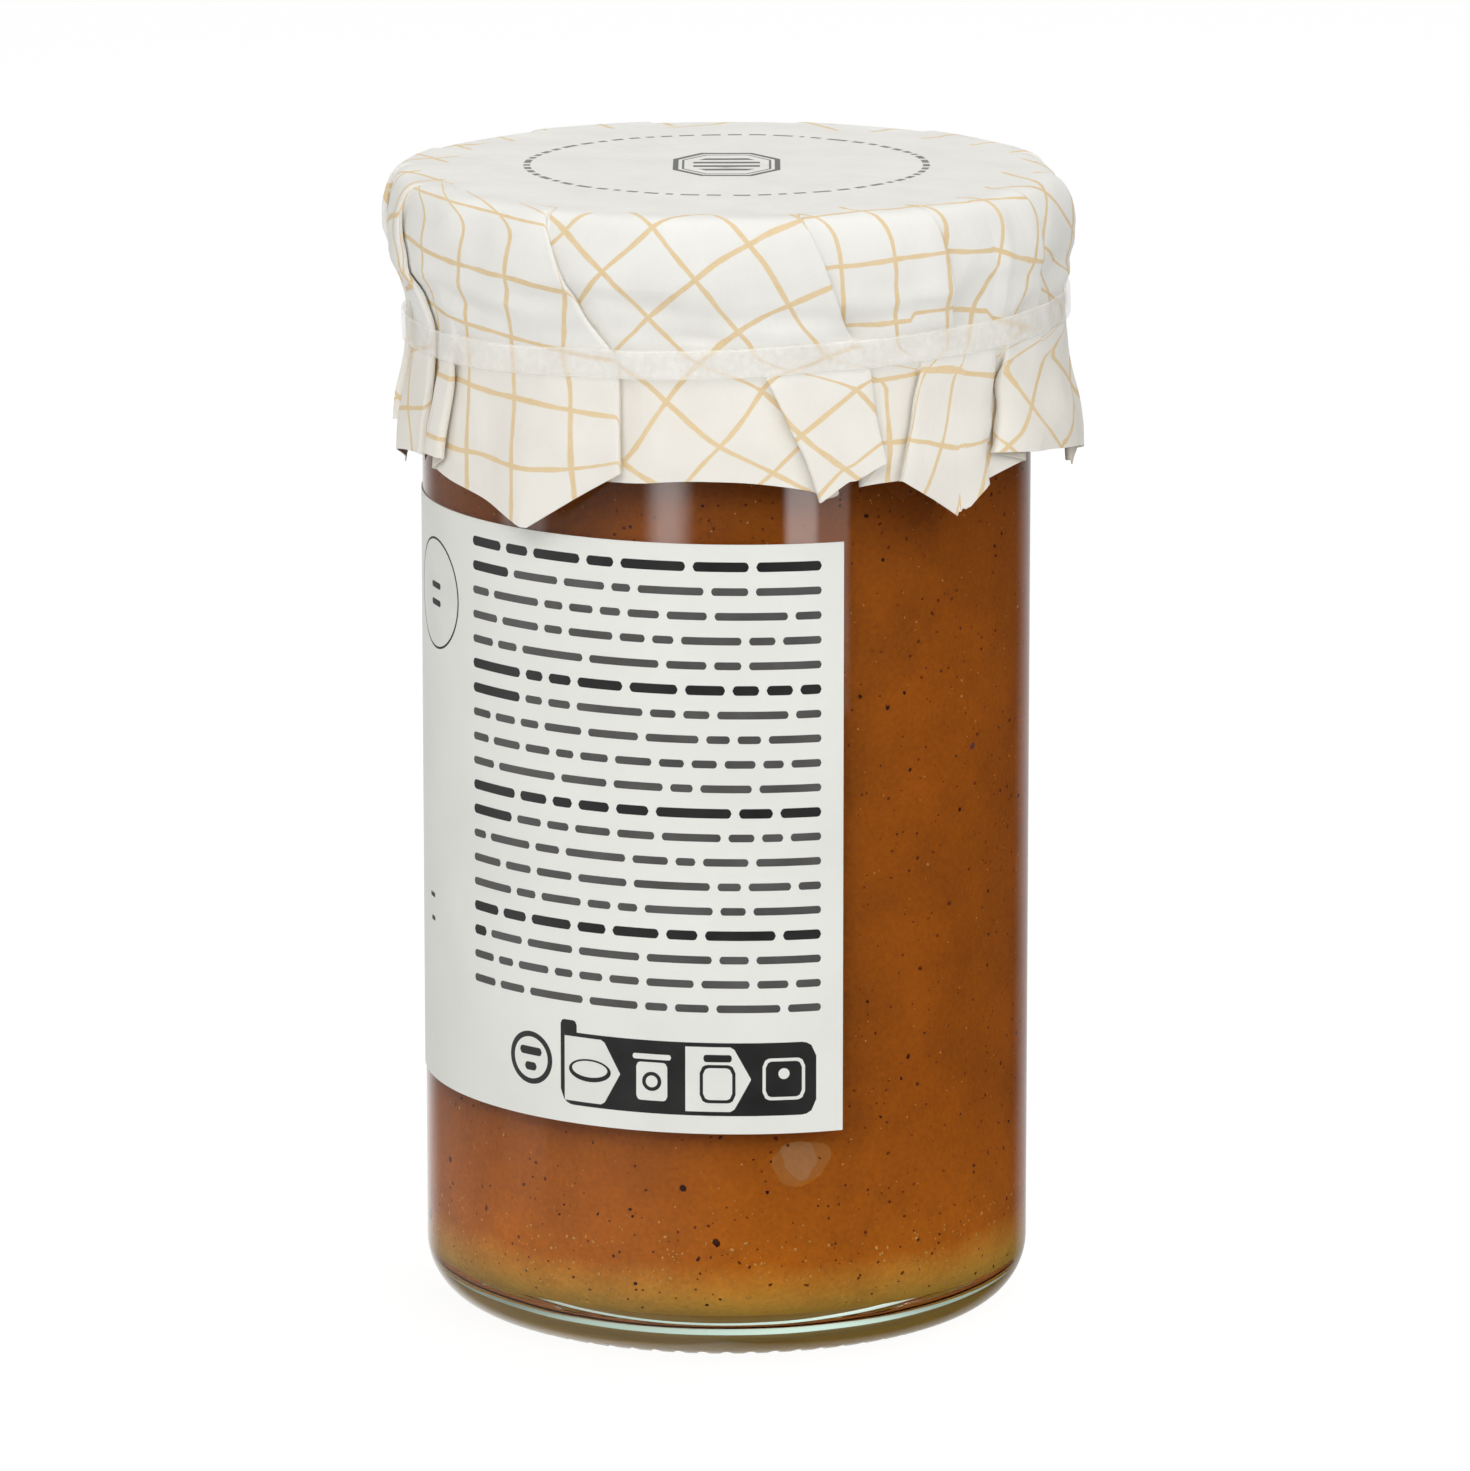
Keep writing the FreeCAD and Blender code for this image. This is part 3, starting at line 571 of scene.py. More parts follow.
def make_cover_material():
    """White baking paper with a hand-ruled ochre grid and a ring of dashes on top."""
    material, tree, shader = new_material("cover_paper")
    flat = place_on_sheet(tree, "flat")
    jar = place_on_jar(tree)
    fibre = place_effect(tree, EFFECTS["fibre"], Place=jar, Fibre_Size=0.22, Cloud_Size=7.0)
    grid = place_effect(tree, EFFECTS["ruled grid"], Flat=flat, Cell=GRID_CELL, Line_Width=0.54,
                        Wobble=0.4, Blank_Radius=29.5, Ragged=4.5, Turn=math.radians(GRID_TURN))
    on_top = reckon_vector(tree, "SUBTRACT", flat, (0.0, TOP_PRINT_BACK, 0.0))
    dashes = place_effect(tree, EFFECTS["dash ring"], Flat=on_top, Radius=21.6, Height=0.75,
                          Dashes=58.0, Gap=0.15)
    paper = blend_colours(tree, remap(tree, fibre.outputs["Tone"], 0.3, 0.7),
                          PAPER_SHADE, PAPER_WHITE)
    axes = add_node(tree, "ShaderNodeSeparateXYZ")
    feed(tree, axes.inputs[0], jar)
    # Painted warm shade on the skirt below the band. It fades out just under the band.
    below_band_shade = remap(tree, axes.outputs[2], BAND_HEIGHT - 4.0, BAND_HEIGHT, 1.0, 0.0, True)
    paper = blend_colours(tree, below_band_shade, paper, PAPER_SKIRT_SHADE, "MULTIPLY")
    ruled = blend_colours(tree, grid.outputs["Ink"], paper, INK_OCHRE)
    grey = reckon(tree, "MULTIPLY", dashes.outputs["Ink"], 0.8)
    badge = badge_ink(tree, on_top)
    printed = blend_colours(tree, reckon(tree, "MAXIMUM", grey, badge), ruled, INK_GREY)
    feed(tree, shader.inputs["Base Color"], printed)
    shader.inputs["Roughness"].default_value = 0.62
    shader.inputs["Specular IOR Level"].default_value = 0.35
    # Tension creases run out from the middle, so their noise is stretched that way; over them
    # lie the flat faces of handled paper.
    way = reckon_vector(tree, "SCALE", reckon_vector(tree, "NORMALIZE", flat), scale=36.0)
    fall = add_node(tree, "ShaderNodeCombineXYZ")
    feed(tree, fall.inputs[2], reckon(tree, "MULTIPLY", reckon_vector(tree, "LENGTH", flat), 0.16))
    creases = cloud(tree, reckon_vector(tree, "ADD", way, fall.outputs[0]), 2.4, 3.0, 0.55, 0.4)
    faces = add_node(tree, "ShaderNodeTexVoronoi", feature="F1")
    warped = reckon_vector(tree, "SCALE", jar, scale=1 / 7.5)
    feed(tree, faces.inputs["Vector"], warped)
    faces.inputs["Scale"].default_value = 1.0
    side = remap(tree, reckon_vector(tree, "LENGTH", flat), 31.0, 36.0, 0.25, 1.0, True)
    folded = reckon(tree, "MULTIPLY", faces.outputs["Distance"], side)
    height = reckon(tree, "MULTIPLY_ADD", creases, 1.4,
                    reckon(tree, "MULTIPLY", fibre.outputs["Height"], 0.12))
    raise_bump(tree, shader, reckon(tree, "MULTIPLY_ADD", folded, 4.5, height), 0.09)
    return material


def badge_ink(tree, flat):
    """A plain double-ruled shield in the middle of the top, with three bars in it."""
    axes = add_node(tree, "ShaderNodeSeparateXYZ")
    feed(tree, axes.inputs[0], flat)
    across = reckon(tree, "ABSOLUTE", axes.outputs[0])
    deep = reckon(tree, "MULTIPLY", reckon(tree, "ABSOLUTE", axes.outputs[1]), 0.7)
    reach = reckon(tree, "MAXIMUM", reckon(tree, "MAXIMUM", across, deep),
                   reckon(tree, "MULTIPLY", reckon(tree, "ADD", across, deep), 0.68))
    inks = []
    for radius, half in ((5.5, 0.3), (4.7, 0.12)):
        off = reckon(tree, "ABSOLUTE", reckon(tree, "SUBTRACT", reach, radius))
        inks.append(remap(tree, reckon(tree, "SUBTRACT", half, off), -0.05, 0.05, 0.0, 0.9, True))
    # Bars: a sawtooth along the depth, cut off at the sides and beyond the third bar.
    saw = reckon(tree, "PINGPONG", reckon(tree, "ADD", axes.outputs[1], 10.0), 1.25)
    bar = remap(tree, saw, 0.62, 0.72, 0.0, 0.9, True)
    inside = remap(tree, reckon(tree, "SUBTRACT", 3.6, reach), -0.05, 0.05, 0.0, 1.0, True)
    inks.append(reckon(tree, "MULTIPLY", bar, inside))
    return reckon(tree, "MAXIMUM", inks[0], reckon(tree, "MAXIMUM", inks[1], inks[2]))


def make_cover_inside_material():
    """The plain side of the paper, a little greyer, with the print showing through."""
    material, tree, shader = new_material("cover_paper_inside")
    flat = place_on_sheet(tree, "flat")
    jar = place_on_jar(tree)
    fibre = place_effect(tree, EFFECTS["fibre"], Place=jar, Fibre_Size=0.3, Cloud_Size=5.0)
    grid = place_effect(tree, EFFECTS["ruled grid"], Flat=flat, Cell=GRID_CELL, Line_Width=0.6,
                        Wobble=0.4, Blank_Radius=29.5, Ragged=4.5, Turn=math.radians(GRID_TURN))
    paper = blend_colours(tree, remap(tree, fibre.outputs["Tone"], 0.3, 0.7),
                          colour(214, 206, 192), colour(224, 218, 206))
    through = reckon(tree, "MULTIPLY", grid.outputs["Ink"], 0.3)
    feed(tree, shader.inputs["Base Color"], blend_colours(tree, through, paper, INK_OCHRE))
    shader.inputs["Roughness"].default_value = 0.8
    shader.inputs["Specular IOR Level"].default_value = 0.25
    raise_bump(tree, shader, fibre.outputs["Height"], 0.03)
    return material


GLASS_WALL_TINT = (0.93, 0.968, 0.945, 1.0)
GLASS_FOOT_TINT = (0.56, 0.73, 0.63, 1.0)
GLASS_FOOT_TOP = 4.6, 6.6     # heights between which the tint of the thick foot gives way


def make_glass_material():
    """Clear jar glass, green in the thick foot, with slight handling marks."""
    material, tree, shader = new_material("jar_glass")
    jar = place_on_jar(tree)
    smudge = place_effect(tree, EFFECTS["smudge"], Place=jar, Smudge_Size=11.0, Least=0.0,
                          Most=0.035)
    feed(tree, shader.inputs["Roughness"], smudge.outputs["Roughness"])
    axes = add_node(tree, "ShaderNodeSeparateXYZ")
    feed(tree, axes.inputs[0], jar)
    up = remap(tree, axes.outputs[2], *GLASS_FOOT_TOP, 0.0, 1.0, True)
    feed(tree, shader.inputs["Base Color"],
         blend_colours(tree, up, GLASS_FOOT_TINT, GLASS_WALL_TINT))
    shader.inputs["Transmission Weight"].default_value = 1.0
    shader.inputs["IOR"].default_value = 1.52
    ripple = cloud(tree, jar, 14.0, 1.0)
    raise_bump(tree, shader, ripple, 0.12)
    # Light passes straight to the filling, so that the wall throws no shadow on it.
    path = add_node(tree, "ShaderNodeLightPath")
    clear = add_node(tree, "ShaderNodeBsdfTransparent")
    clear.inputs[0].default_value = (0.93, 0.95, 0.93, 1.0)
    mix = add_node(tree, "ShaderNodeMixShader")
    feed(tree, mix.inputs[0], path.outputs["Is Shadow Ray"])
    feed(tree, mix.inputs[1], shader.outputs[0])
    feed(tree, mix.inputs[2], clear.outputs[0])
    feed(tree, tree.nodes["Material Output"].inputs["Surface"], mix.outputs[0])
    return material


# The top colour is painted shade: the filling darkens towards its top, where the paper hem shades it.
CURD_TOP_SHADED = colour(150, 77, 8)
CURD_MIDDLE = colour(157, 82, 9)
CURD_LOW = colour(180, 98, 15)
CURD_FOOT = colour(214, 160, 66)


def make_curd_material():
    """Cooked orange-brown curd, paler and yellower where it settled on the floor, with painted shade
    darkening it towards the top under the paper hem.
    """
    material, tree, shader = new_material("fruit_curd")
    jar = place_on_jar(tree)
    mottle = place_effect(tree, EFFECTS["mottle"], Place=jar, Blotch_Size=9.0, Grain_Size=0.55,
                          Grain_Share=0.45)
    axes = add_node(tree, "ShaderNodeSeparateXYZ")
    feed(tree, axes.inputs[0], jar)
    settle = cloud(tree, jar, 5.0, 3.0)
    level = reckon(tree, "MULTIPLY_ADD", settle, 2.4, axes.outputs[2])
    # Painted shade: from 78 mm up the filling darkens towards the top colour, under the paper hem.
    with_top_shade = blend_colours(tree, remap(tree, axes.outputs[2], 78.0, 91.0), CURD_MIDDLE, CURD_TOP_SHADED)
    low = blend_colours(tree, remap(tree, axes.outputs[2], 8.5, 26.0), CURD_LOW, with_top_shade)
    base = blend_colours(tree, remap(tree, level, 5.8, 12.2), CURD_FOOT, low)
    tone = remap(tree, mottle.outputs["Tone"], 0.34, 0.66, 0.8, 1.2)
    made = add_node(tree, "ShaderNodeHueSaturation")
    feed(tree, made.inputs["Value"], tone)
    feed(tree, made.inputs["Color"], base)
    feed(tree, shader.inputs["Base Color"], made.outputs[0])
    shader.inputs["Roughness"].default_value = 0.5
    shader.inputs["Specular IOR Level"].default_value = 0.1
    raise_bump(tree, shader, mottle.outputs["Height"], 0.05)
    return material


def make_mottled_material(name, dark, pale, roughness):
    """Flecks of spice and fruit, and the layers of the painted air-pocket reflection, whose tone differs
    from place to place.
    """
    material, tree, shader = new_material(name)
    jar = place_on_jar(tree)
    mottle = place_effect(tree, EFFECTS["mottle"], Place=jar, Blotch_Size=1.1, Grain_Size=0.12,
                          Grain_Share=0.3)
    tone = remap(tree, mottle.outputs["Tone"], 0.35, 0.65)
    feed(tree, shader.inputs["Base Color"], blend_colours(tree, tone, dark, pale))
    shader.inputs["Roughness"].default_value = roughness
    shader.inputs["Specular IOR Level"].default_value = 0.1
    return material


def make_lid_material():
    """Tin lid with a clear lacquer, finely brushed round its axis."""
    material, tree, shader = new_material("lid_tin")
    jar = place_on_jar(tree)
    brushed = reckon_vector(tree, "MULTIPLY", jar, (0.1, 0.1, 3.0))
    lines = cloud(tree, brushed, 0.8, 3.0)
    smudge = place_effect(tree, EFFECTS["smudge"], Place=jar, Smudge_Size=6.0, Least=0.26,
                          Most=0.42)
    tone = remap(tree, lines, 0.3, 0.7)
    feed(tree, shader.inputs["Base Color"],
         blend_colours(tree, tone, colour(196, 190, 176), colour(220, 215, 203)))
    feed(tree, shader.inputs["Roughness"], smudge.outputs["Roughness"])
    shader.inputs["Metallic"].default_value = 1.0
    shader.inputs["Coat Weight"].default_value = 0.3
    raise_bump(tree, shader, lines, 0.01)
    return material


def make_band_material():
    """Milky stretched elastic, the grid showing through; only its outer side is seen."""
    material, tree, shader = new_material("band_rubber")
    jar = place_on_jar(tree)
    mottle = place_effect(tree, EFFECTS["mottle"], Place=jar, Blotch_Size=4.0, Grain_Size=0.7,
                          Grain_Share=0.3)
    tone = remap(tree, mottle.outputs["Tone"], 0.35, 0.65)
    feed(tree, shader.inputs["Base Color"],
         blend_colours(tree, tone, colour(243, 240, 234), colour(249, 247, 242)))
    outside = reckon(tree, "SUBTRACT", 1.0, add_node(tree, "ShaderNodeNewGeometry").outputs["Backfacing"])
    path = add_node(tree, "ShaderNodeLightPath")
    lighter = remap(tree, path.outputs["Is Shadow Ray"], 0.0, 1.0, 1.0, 0.35)
    cover = reckon(tree, "MULTIPLY", remap(tree, tone, 0.0, 1.0, 0.46, 0.6), lighter)
    feed(tree, shader.inputs["Alpha"], reckon(tree, "MULTIPLY", cover, outside))
    feed(tree, shader.inputs["Roughness"], remap(tree, tone, 0.0, 1.0, 0.3, 0.42))
    shader.inputs["Coat Weight"].default_value = 0.15
    shader.inputs["Coat Roughness"].default_value = 0.2
    raise_bump(tree, shader, mottle.outputs["Tone"], 0.04)
    return material


def make_label_material():
    """Coated white label stock."""
    material, tree, shader = new_material("label_stock")
    jar = place_on_jar(tree)
    fibre = place_effect(tree, EFFECTS["fibre"], Place=jar, Fibre_Size=0.18, Cloud_Size=12.0)
    tone = remap(tree, fibre.outputs["Tone"], 0.3, 0.7)
    feed(tree, shader.inputs["Base Color"],
         blend_colours(tree, tone, colour(231, 231, 225), colour(237, 238, 232)))
    feed(tree, shader.inputs["Roughness"], remap(tree, tone, 0.0, 1.0, 0.42, 0.5))
    shader.inputs["Specular IOR Level"].default_value = 0.4
    raise_bump(tree, shader, fibre.outputs["Height"], 0.012)
    return material


def make_ink_material(name, dark, pale):
    """Printing ink, a little uneven over the fibres."""
    material, tree, shader = new_material(name)
    jar = place_on_jar(tree)
    fibre = place_effect(tree, EFFECTS["fibre"], Place=jar, Fibre_Size=0.15, Cloud_Size=4.0)
    tone = remap(tree, fibre.outputs["Tone"], 0.3, 0.7)
    feed(tree, shader.inputs["Base Color"], blend_colours(tree, tone, dark, pale))
    feed(tree, shader.inputs["Roughness"], remap(tree, tone, 0.0, 1.0, 0.35, 0.5))
    return material


# =====================================================================================
# Glass, filling and flecks
# =====================================================================================

def floor_apex():
    """Height of the inner floor at the axis."""
    return PUSH_UP_HEIGHT + FLOOR_THICKNESS


def floor_edge():
    """Where the domed inner floor meets the corner rounding."""
    return BODY_RADIUS - WALL - INNER_CORNER_RADIUS, floor_apex() - FLOOR_DROP


def dome_height(apex, edge_radius, edge_height, radius):
    """Height of a spherical cap centred on the axis, at a radius."""
    drop = apex - edge_height
    sphere = (edge_radius ** 2 + drop ** 2) / (2 * drop)
    return apex - sphere + math.sqrt(sphere ** 2 - radius ** 2)


def shoulder_points(radius_low, radius_high, steps=8):
    """The shoulder from the body to the neck, one smooth S."""
    rise, inset = SHOULDER_HEIGHT, radius_low - radius_high
    found = []
    for i in range(1, 2 * steps + 1):
        share = i / (2 * steps)
        bend = share ** 2 * (3 - 2 * share)
        found.append((radius_low - inset * bend, BODY_TOP + rise * share))
    return found


def groove_height(radius, degrees, height):
    """Underside of the foot, raised inside each radial groove of the bearing ring."""
    if height > KNURL_DEPTH or radius < BEARING_INNER_RADIUS + KNURL_INSET:
        return height
    half = KNURL_WIDTH / 2
    round_radius = (half ** 2 + KNURL_DEPTH ** 2) / (2 * KNURL_DEPTH)
    pitch = 360.0 / KNURL_COUNT
    off = (degrees + pitch / 2) % pitch - pitch / 2
    side = radius * math.sin(math.radians(off))
    if abs(side) >= round_radius:
        return height
    return max(height, KNURL_DEPTH - round_radius + math.sqrt(round_radius ** 2 - side ** 2))


def glass_profile():
    """Outline of the glass, from the axis under the foot, out, up and down the inside."""
    inner = BODY_RADIUS - WALL
    neck_inner = NECK_RADIUS - WALL
    edge_radius, edge_height = floor_edge()
    heel = (BODY_RADIUS - HEEL_RADIUS, HEEL_RADIUS)
    profile = [(0.0, PUSH_UP_HEIGHT)]
    for i in range(1, 13):
        r = BEARING_INNER_RADIUS * i / 12
        profile.append((r, dome_height(PUSH_UP_HEIGHT, BEARING_INNER_RADIUS, 0.0, r)))
    groove_start = BEARING_INNER_RADIUS + KNURL_INSET
    profile += [(groove_start - 0.02, 0.0), (groove_start, 0.0)]
    profile += straight_points((groove_start, 0.0), (heel[0], 0.0), 3)
    profile += arc_points(heel, HEEL_RADIUS, -90, 0, 28)
    profile += straight_points((BODY_RADIUS, HEEL_RADIUS), (BODY_RADIUS, BODY_TOP), 10)
    profile += shoulder_points(BODY_RADIUS, NECK_RADIUS)
    profile += [(NECK_RADIUS, GLASS_RIM - RIM_ROUNDING)]
    profile += arc_points((NECK_RADIUS - RIM_ROUNDING, GLASS_RIM - RIM_ROUNDING),
                          RIM_ROUNDING, 0, 90, 5)
    profile += [(neck_inner + RIM_ROUNDING, GLASS_RIM)]
    profile += arc_points((neck_inner + RIM_ROUNDING, GLASS_RIM - RIM_ROUNDING),
                          RIM_ROUNDING, 90, 180, 5)
    profile += [(neck_inner, NECK_START)]
    profile += shoulder_points(inner, neck_inner)[-2::-1]
    profile += [(inner, BODY_TOP)]
    wall_foot = (inner, edge_height + INNER_CORNER_RADIUS)
    profile += straight_points((inner, BODY_TOP), wall_foot, 6)
    profile += arc_points((edge_radius, edge_height + INNER_CORNER_RADIUS),
                          INNER_CORNER_RADIUS, 0, -90, 12)
    for i in range(7, 0, -1):
        r = edge_radius * i / 8
        profile.append((r, dome_height(floor_apex(), edge_radius, edge_height, r)))
    profile.append((0.0, floor_apex()))
    return profile


def make_glass(material):
    """The jar itself."""
    segments = KNURL_COUNT * GLASS_STEPS_PER_KNURL
    points, faces = turn_profile(glass_profile(), segments, groove_height)
    return new_piece("jar_glass", points, faces, material, ("glass_jar",))


def curd_level():
    """The filling ends half-way up the shoulder."""
    return BODY_TOP + SHOULDER_HEIGHT / 2


def curd_profile():
    """Outline of the filling, reaching just into the glass all round."""
    grow = CURD_INTO_WALL
    edge_radius, edge_height = floor_edge()
    wall = BODY_RADIUS - WALL + grow
    profile = [(0.0, floor_apex() - grow)]
    for i in range(1, 9):
        r = edge_radius * i / 8
        profile.append((r, dome_height(floor_apex(), edge_radius, edge_height, r) - grow))
    corner = (edge_radius, edge_height + INNER_CORNER_RADIUS)
    profile += arc_points(corner, INNER_CORNER_RADIUS + grow, -90, 0, 12)
    profile += straight_points((wall, corner[1]), (wall, BODY_TOP), 12)
    inner = shoulder_points(BODY_RADIUS - WALL, NECK_RADIUS - WALL)
    profile += [(r + grow, z) for r, z in inner if z < curd_level() - 0.01]
    brim = (BODY_RADIUS + NECK_RADIUS) / 2 - WALL + grow
    profile += [(brim, curd_level()), (brim - 0.6, curd_level() - 0.25)]
    profile += [(brim * 0.5, curd_level() - 0.35), (0.0, curd_level() - 0.4)]
    return profile


def make_curd(material):
    """The filling of the jar."""
    points, faces = turn_profile(curd_profile(), 256)
    return new_piece("curd_filling", points, faces, material, ("curd",))


# A twenty-sided ball, the shape of every fleck before it is squashed and turned.
GOLDEN = (1 + math.sqrt(5)) / 2
BALL_POINTS = np.array([
    (-1, GOLDEN, 0), (1, GOLDEN, 0), (-1, -GOLDEN, 0), (1, -GOLDEN, 0),
    (0, -1, GOLDEN), (0, 1, GOLDEN), (0, -1, -GOLDEN), (0, 1, -GOLDEN),
    (GOLDEN, 0, -1), (GOLDEN, 0, 1), (-GOLDEN, 0, -1), (-GOLDEN, 0, 1),
]) / math.sqrt(1 + GOLDEN ** 2)
BALL_FACES = (
    (0, 11, 5), (0, 5, 1), (0, 1, 7), (0, 7, 10), (0, 10, 11), (1, 5, 9), (5, 11, 4),
    (11, 10, 2), (10, 7, 6), (7, 1, 8), (3, 9, 4), (3, 4, 2), (3, 2, 6), (3, 6, 8),
    (3, 8, 9), (4, 9, 5), (2, 4, 11), (6, 2, 10), (8, 6, 7), (9, 8, 1),
)


def curd_surface(height):
    """Radius of the filling at a height, following the rounded corner under the wall."""
    edge_radius, edge_height = floor_edge()
    grow = CURD_INTO_WALL
    corner = edge_height + INNER_CORNER_RADIUS
    if height >= corner:
        return BODY_RADIUS - WALL + grow
    drop = min(corner - height, INNER_CORNER_RADIUS)
    return edge_radius + math.sqrt((INNER_CORNER_RADIUS + grow) ** 2 - drop ** 2)


def scatter_flecks(name, material, flecks):
    """Joined small lumps: each fleck is (degrees, height, radius, flatness, stretch)."""
    dice = random.Random(name)
    points, faces = [], []
    for degrees, height, radius, flatness, stretch in flecks:
        a = math.radians(degrees)
        outward = np.array((math.sin(a), -math.cos(a), 0.0))
        sideways = np.array((math.cos(a), math.sin(a), 0.0))
        spin = dice.uniform(0, math.pi)
        first = math.cos(spin) * sideways + math.sin(spin) * np.array((0, 0, 1.0))
        second = -math.sin(spin) * sideways + math.cos(spin) * np.array((0, 0, 1.0))
        centre = outward * curd_surface(height) + np.array((0, 0, height))
        lump = BALL_POINTS * (1 + 0.25 * np.array([[dice.uniform(-1, 1)] for _ in range(12)]))
        shape = (np.outer(lump[:, 0], first) * stretch + np.outer(lump[:, 1], second)
                 + np.outer(lump[:, 2], outward) * flatness)
        start = len(points)
        points.extend(centre + shape * radius)
        faces.extend([tuple(start + k for k in face) for face in BALL_FACES])
    return new_piece(name, points, faces, material)


def fleck_field(seed, count, low, high, median, spread, largest, flatness):
    """Flecks spread evenly over the upright surface, most of them small."""
    dice = random.Random(seed)
    found = []
    for _ in range(count):
        radius = min(median * math.exp(dice.gauss(0, spread)), largest)
        found.append((dice.uniform(0, 360), dice.uniform(low, high), radius, flatness,
                      dice.uniform(0.9, 1.7)))
    return found


def pressed_patch(name, material, degrees, height, half_width, half_height, lift):
    """A soft flat patch pressed against the glass, its rim sunk in the filling."""
    dice = random.Random(name)
    phases = [dice.uniform(0, 2 * math.pi) for _ in range(3)]
    rings, steps = 6, 40
    points = [polar(curd_surface(height) + lift, degrees, height)]
    for ring in range(1, rings + 1):
        share = ring / rings
        for step in range(steps):
            turn = 2 * math.pi * step / steps
            reach = share * (1 + 0.1 * math.sin(2 * turn + phases[0])
                             + 0.06 * math.sin(3 * turn + phases[1])
                             + 0.04 * math.sin(5 * turn + phases[2]))
            across = half_width * reach * math.cos(turn)
            up = half_height * reach * math.sin(turn)
            radius = curd_surface(height + up)
            points.append(polar(radius + (lift + 0.05) * (1 - share ** 2) - 0.05,
                                degrees + math.degrees(across / radius), height + up))
    faces = [(0, 1 + k, 1 + (k + 1) % steps) for k in range(steps)]
    for ring in range(rings - 1):
        for k in range(steps):
            a, b = 1 + ring * steps + k, 1 + ring * steps + (k + 1) % steps
            faces.append((a, a + steps, b + steps, b))
    return new_piece(name, points, faces, material)


# Larger crumbs by themselves: angle, height, radius, flatness, stretch.
LARGE_CRUMBS = (
    (-8.5, 19.4, 0.42, 0.5, 1.05), (-1.9, 13.5, 0.4, 0.5, 1.5), (-69.0, 17.6, 0.33, 0.6, 1.2),
    (-84.0, 9.3, 0.75, 0.8, 1.2), (8.0, 19.0, 0.2, 0.5, 1.2), (28.0, 92.0, 0.22, 0.5, 1.3),
    (33.0, 71.0, 0.26, 0.5, 1.2),
)


def make_flecks():
    """Spice specks, clove crumbs, pale grains, a bruised shred and the painted reflection of an air pocket
    in the filling.
    """
    spice = make_mottled_material("spice_speck", colour(84, 32, 6), colour(122, 58, 14), 0.6)
    clove = make_mottled_material("clove_crumb", colour(26, 14, 8), colour(84, 34, 10), 0.6)
    grain = make_mottled_material("fruit_grain", colour(186, 128, 54), colour(214, 166, 96), 0.5)
    pocket_reflection_rim = make_mottled_material("air_pocket_reflection_rim", colour(172, 98, 20), colour(184, 110, 30), 0.5)
    pocket_reflection_middle = make_mottled_material("air_pocket_reflection_middle", colour(164, 100, 42), colour(174, 108, 50), 0.5)
    pocket_reflection_core = make_mottled_material("air_pocket_reflection_core", colour(166, 112, 66), colour(178, 124, 80), 0.5)
    bruise = make_mottled_material("fruit_bruise", colour(92, 52, 52), colour(110, 66, 60), 0.6)
    # Painted reflection: a pale patch with a yellowish ring, in three layers, where an air pocket sits
    # between the filling and the glass.
    pressed_patch("curd_rind_shred", pocket_reflection_rim, 14.7, 21.9, 4.3, 3.7, 0.03)
    pressed_patch("curd_pith_shred", pocket_reflection_middle, 14.7, 22.1, 3.8, 3.2, 0.08)
    pressed_patch("curd_pulp_shred", pocket_reflection_core, 14.5, 22.3, 2.9, 2.4, 0.14)
    pressed_patch("curd_bruised_shred", bruise, 55.9, 65.0, 0.55, 0.5, 0.06)
    top = curd_level() - 1.0
    scatter_flecks("curd_spice_specks", spice,
                   fleck_field(11, 3400, 5.6, top, 0.095, 0.42, 0.24, 0.35))
    scatter_flecks("curd_clove_crumbs", clove,
                   fleck_field(12, 330, 5.8, top, 0.14, 0.3, 0.26, 0.5) + list(LARGE_CRUMBS))
    scatter_flecks("curd_fruit_grains", grain,
                   fleck_field(13, 1300, 5.6, top, 0.075, 0.35, 0.2, 0.35)
                   + fleck_field(14, 700, 5.4, 14.0, 0.1, 0.35, 0.24, 0.35))


# =====================================================================================
# Label and its print
# =====================================================================================

def label_line(height, degrees):
    """Height on the jar of a level line of the tilted label, at an angle."""
    across = BODY_RADIUS * math.sin(math.radians(degrees))
    return height - across * math.tan(math.radians(LABEL_TILT))


def make_label(material):
    """The wrapped sheet, with its thin cut edges."""
    start = LABEL_END_ANGLE - LABEL_SPAN
    columns, rows = 276, 24
    points, faces = [], []
    for radius in (BODY_RADIUS + LABEL_FILM, BODY_RADIUS + 0.002):
        for i in range(columns + 1):
            degrees = start + LABEL_SPAN * i / columns
            for j in range(rows + 1):
                height = label_line(LABEL_BOTTOM + LABEL_HEIGHT * j / rows, degrees)
                points.append(polar(radius, degrees, height))
    per_skin = (columns + 1) * (rows + 1)
    at = lambda skin, i, j: skin * per_skin + i * (rows + 1) + j
    for i in range(columns):
        for j in range(rows):
            faces.append((at(0, i, j), at(0, i + 1, j), at(0, i + 1, j + 1), at(0, i, j + 1)))
            faces.append((at(1, i, j + 1), at(1, i + 1, j + 1), at(1, i + 1, j), at(1, i, j)))
        faces.append((at(0, i, 0), at(1, i, 0), at(1, i + 1, 0), at(0, i + 1, 0)))
        faces.append((at(0, i + 1, rows), at(1, i + 1, rows), at(1, i, rows), at(0, i, rows)))
    for j in range(rows):
        faces.append((at(0, 0, j + 1), at(1, 0, j + 1), at(1, 0, j), at(0, 0, j)))
        faces.append((at(0, columns, j), at(1, columns, j), at(1, columns, j + 1),
                      at(0, columns, j + 1)))
    piece = new_piece("label_sheet", points, faces, material, ("label",))
    piece.data.set_sharp_from_angle(angle=math.radians(50))
    return piece


